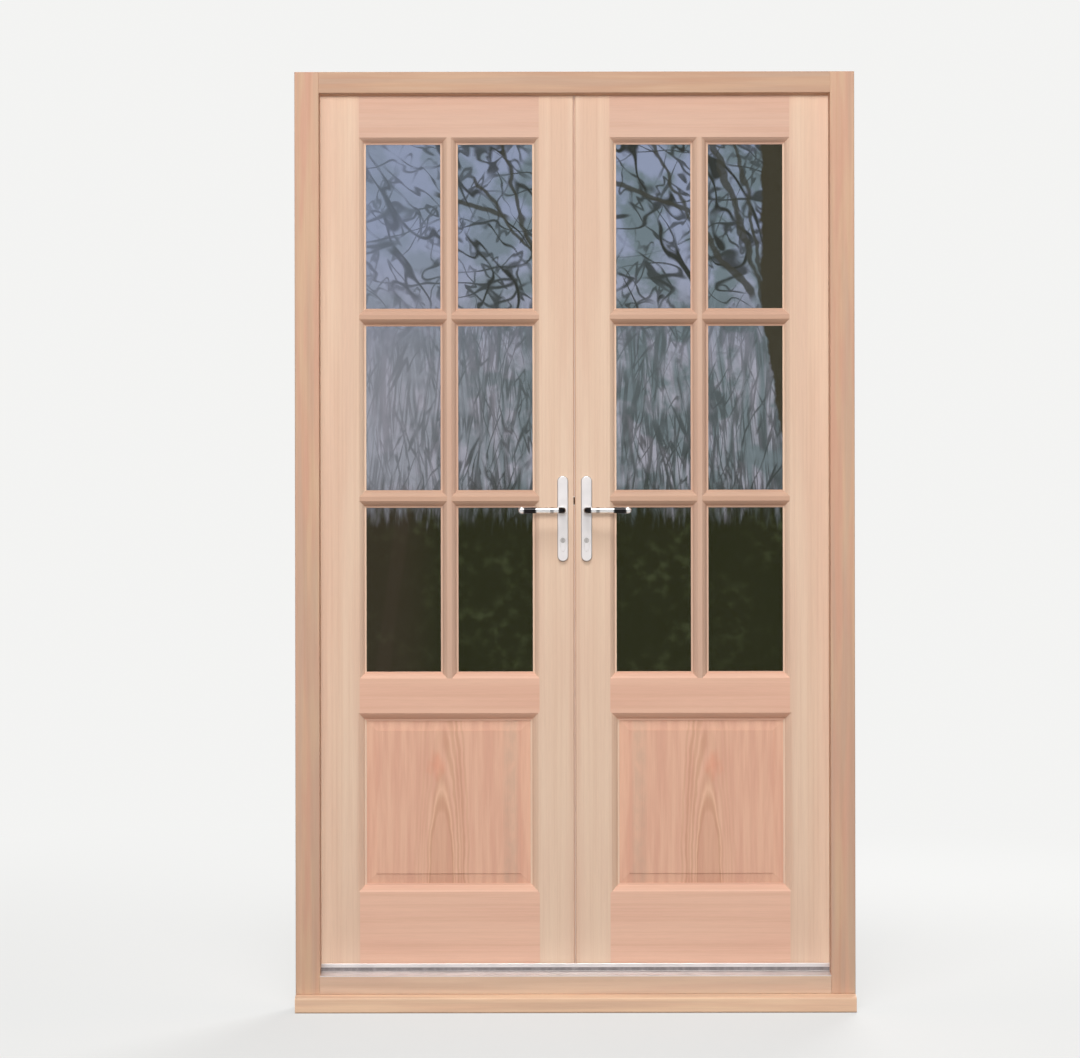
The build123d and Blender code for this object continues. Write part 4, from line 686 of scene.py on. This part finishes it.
    def hedge(self):
        """Dark hedge with lit leaves in patches, browner with a stem on the left."""
        tree = self.tree
        patches = tree.remap(self.blotches(0.55, 3.0, (1.0, 7.0)), 0.40, 0.62)
        leaves = tree.math("MULTIPLY", tree.remap(self.blotches(0.13, 5.0), 0.46, 0.76), patches)
        hedge = tree.mix(tree.math("MULTIPLY", leaves, 0.8), HEDGE_DARK, HEDGE_LIGHT)
        middle = tree.math("MULTIPLY_ADD", self.height, STEM_LEAN, STEM_TURN)
        stem = tree.band(tree.math("SUBTRACT", self.turn, middle), 0.0, 0.05, 0.09)
        brown = tree.most(tree.math("MULTIPLY", stem, 0.55), tree.remap(self.turn, -1.45, -0.9, 0.40, 0.0))
        return tree.mix(brown, hedge, HEDGE_BROWN)

    def view(self):
        """Colour in every direction."""
        tree = self.tree
        ragged = tree.noise(tree.turned(self.plane, (0.0, 0.0, 0.0), 0.0, (0.05, 0.3)), 1.0)
        edge = tree.math("ADD", self.height, tree.sway(ragged, 0.7))
        above = tree.remap(edge, HEDGE_TOP - 0.35, HEDGE_TOP + 0.15)
        view = tree.mix(above, self.hedge(), self.sky())
        view = tree.mix(tree.remap(self.height, HEDGE_FOOT - 0.3, HEDGE_FOOT), BACKGROUND, view)
        return tree.mix(tree.remap(self.height, CLOUD_BASE - 1.0, CLOUD_BASE), view, CLOUD)


# Floor, light and camera

def floor():
    """Plain pale floor that keeps the object's shadow near it and melts into the background farther off."""
    bpy.ops.mesh.primitive_plane_add(size=2 * FLOOR_HALF, location=(0, 0, CAD_BOX[0].z - FLOOR_DROP))
    ground = bpy.context.active_object
    ground.name = "floor"
    material = bpy.data.materials.new("floor_pale")
    material.use_nodes = True
    material.node_tree.nodes.clear()
    tree = Tree(material.node_tree)
    light = tree.node("ShaderNodeLightPath")
    seen = tree.math("MAXIMUM", light.outputs["Is Camera Ray"], light.outputs["Is Glossy Ray"])
    seen = tree.math("MAXIMUM", seen, light.outputs["Is Transmission Ray"])
    x, y, _ = tree.parts(tree.node("ShaderNodeTexCoord").outputs["Object"])
    away = tree.length(x, y)
    share = tree.remap(away, SHADOW_NEAR, SHADOW_FAR, SHADOW_SHARE, 0.0)
    pale = tree.node("ShaderNodeEmission", Color=BACKGROUND, Strength=1.0)
    lit = tree.node("ShaderNodeBsdfDiffuse", Color=FLOOR_LIT)
    bounce = tree.node("ShaderNodeBsdfDiffuse", Color=FLOOR_BOUNCE)
    shown = tree.node("ShaderNodeMixShader", _0=share, _1=pale.outputs[0], _2=lit.outputs[0])
    chosen = tree.node("ShaderNodeMixShader", _0=seen, _1=bounce.outputs[0], _2=shown.outputs[0])
    tree.feed(tree.node("ShaderNodeOutputMaterial").inputs[0], chosen.outputs[0])
    ground.data.materials.append(material)


def world():
    """Soft even fill; the eye sees a pale ground, and gloss sees a garden in winter."""
    made = bpy.data.worlds.new("studio")
    bpy.context.scene.world = made
    made.use_nodes = True
    made.node_tree.nodes.clear()
    tree = Tree(made.node_tree)
    light = tree.node("ShaderNodeLightPath")
    fill = tree.node("ShaderNodeBackground", Color=FILL_COLOUR, Strength=SKY_FILL)
    pale = tree.node("ShaderNodeBackground", Color=BACKGROUND, Strength=1.0)
    mirror = tree.node("ShaderNodeBackground", Color=Garden(tree).view(), Strength=1.0)
    shine = light.outputs["Is Glossy Ray"]
    glossy = tree.node("ShaderNodeMixShader", _0=shine, _1=fill.outputs[0], _2=mirror.outputs[0])
    seen = tree.math("MAXIMUM", light.outputs["Is Camera Ray"], light.outputs["Is Transmission Ray"])
    chosen = tree.node("ShaderNodeMixShader", _0=seen, _1=glossy.outputs[0], _2=pale.outputs[0])
    tree.feed(tree.node("ShaderNodeOutputWorld").inputs[0], chosen.outputs[0])


def aimed(lamp, place, aim):
    """Puts a lamp in place and turns it to a point."""
    lamp.location = place
    lamp.rotation_euler = (Vector(aim) - Vector(place)).to_track_quat("-Z", "Y").to_euler()


def area_lamp(name, place, power, size, shine=True):
    """Round soft lamp; without shine, gloss doesn't see it."""
    data = bpy.data.lights.new(name, "AREA")
    data.shape = "DISK"
    data.size = size
    data.energy = power
    lamp = bpy.data.objects.new(name, data)
    bpy.context.scene.collection.objects.link(lamp)
    lamp.visible_camera = False
    lamp.visible_glossy = shine
    lamp.visible_transmission = shine
    aimed(lamp, place, LAMP_AIM)
    return lamp


def spare_head(lamp):
    """Lets the lamp reach the leaves just under the head, as the broad sky does."""
    spared = bpy.data.collections.new("spared")
    spared.objects.link(frame["nodes"]["head"])
    spared.collection_objects[0].light_linking.link_state = "EXCLUDE"
    lamp.light_linking.blocker_collection = spared


def camera():
    """Camera in the place and with the width of view of the reference picture."""
    data = bpy.data.cameras.new("camera")
    data.sensor_width = SENSOR_WIDTH
    data.lens = SENSOR_WIDTH * FOCAL_PIXELS / IMAGE_WIDTH
    data.dof.use_dof = False
    made = bpy.data.objects.new("camera", data)
    made.location = CAMERA_PLACE
    made.rotation_mode = "XYZ"
    made.rotation_euler = (radians(90), CAMERA_ROLL, 0)
    bpy.context.scene.collection.objects.link(made)
    bpy.context.scene.camera = made


floor()
world()
area_lamp("front", FRONT_PLACE, FRONT_POWER, FRONT_SIZE, shine=False)
spare_head(area_lamp("high", HIGH_PLACE, HIGH_POWER, HIGH_SIZE))
area_lamp("back", BACK_PLACE, BACK_POWER, BACK_SIZE)
camera()

bpy.context.scene.view_settings.view_transform = "Standard"
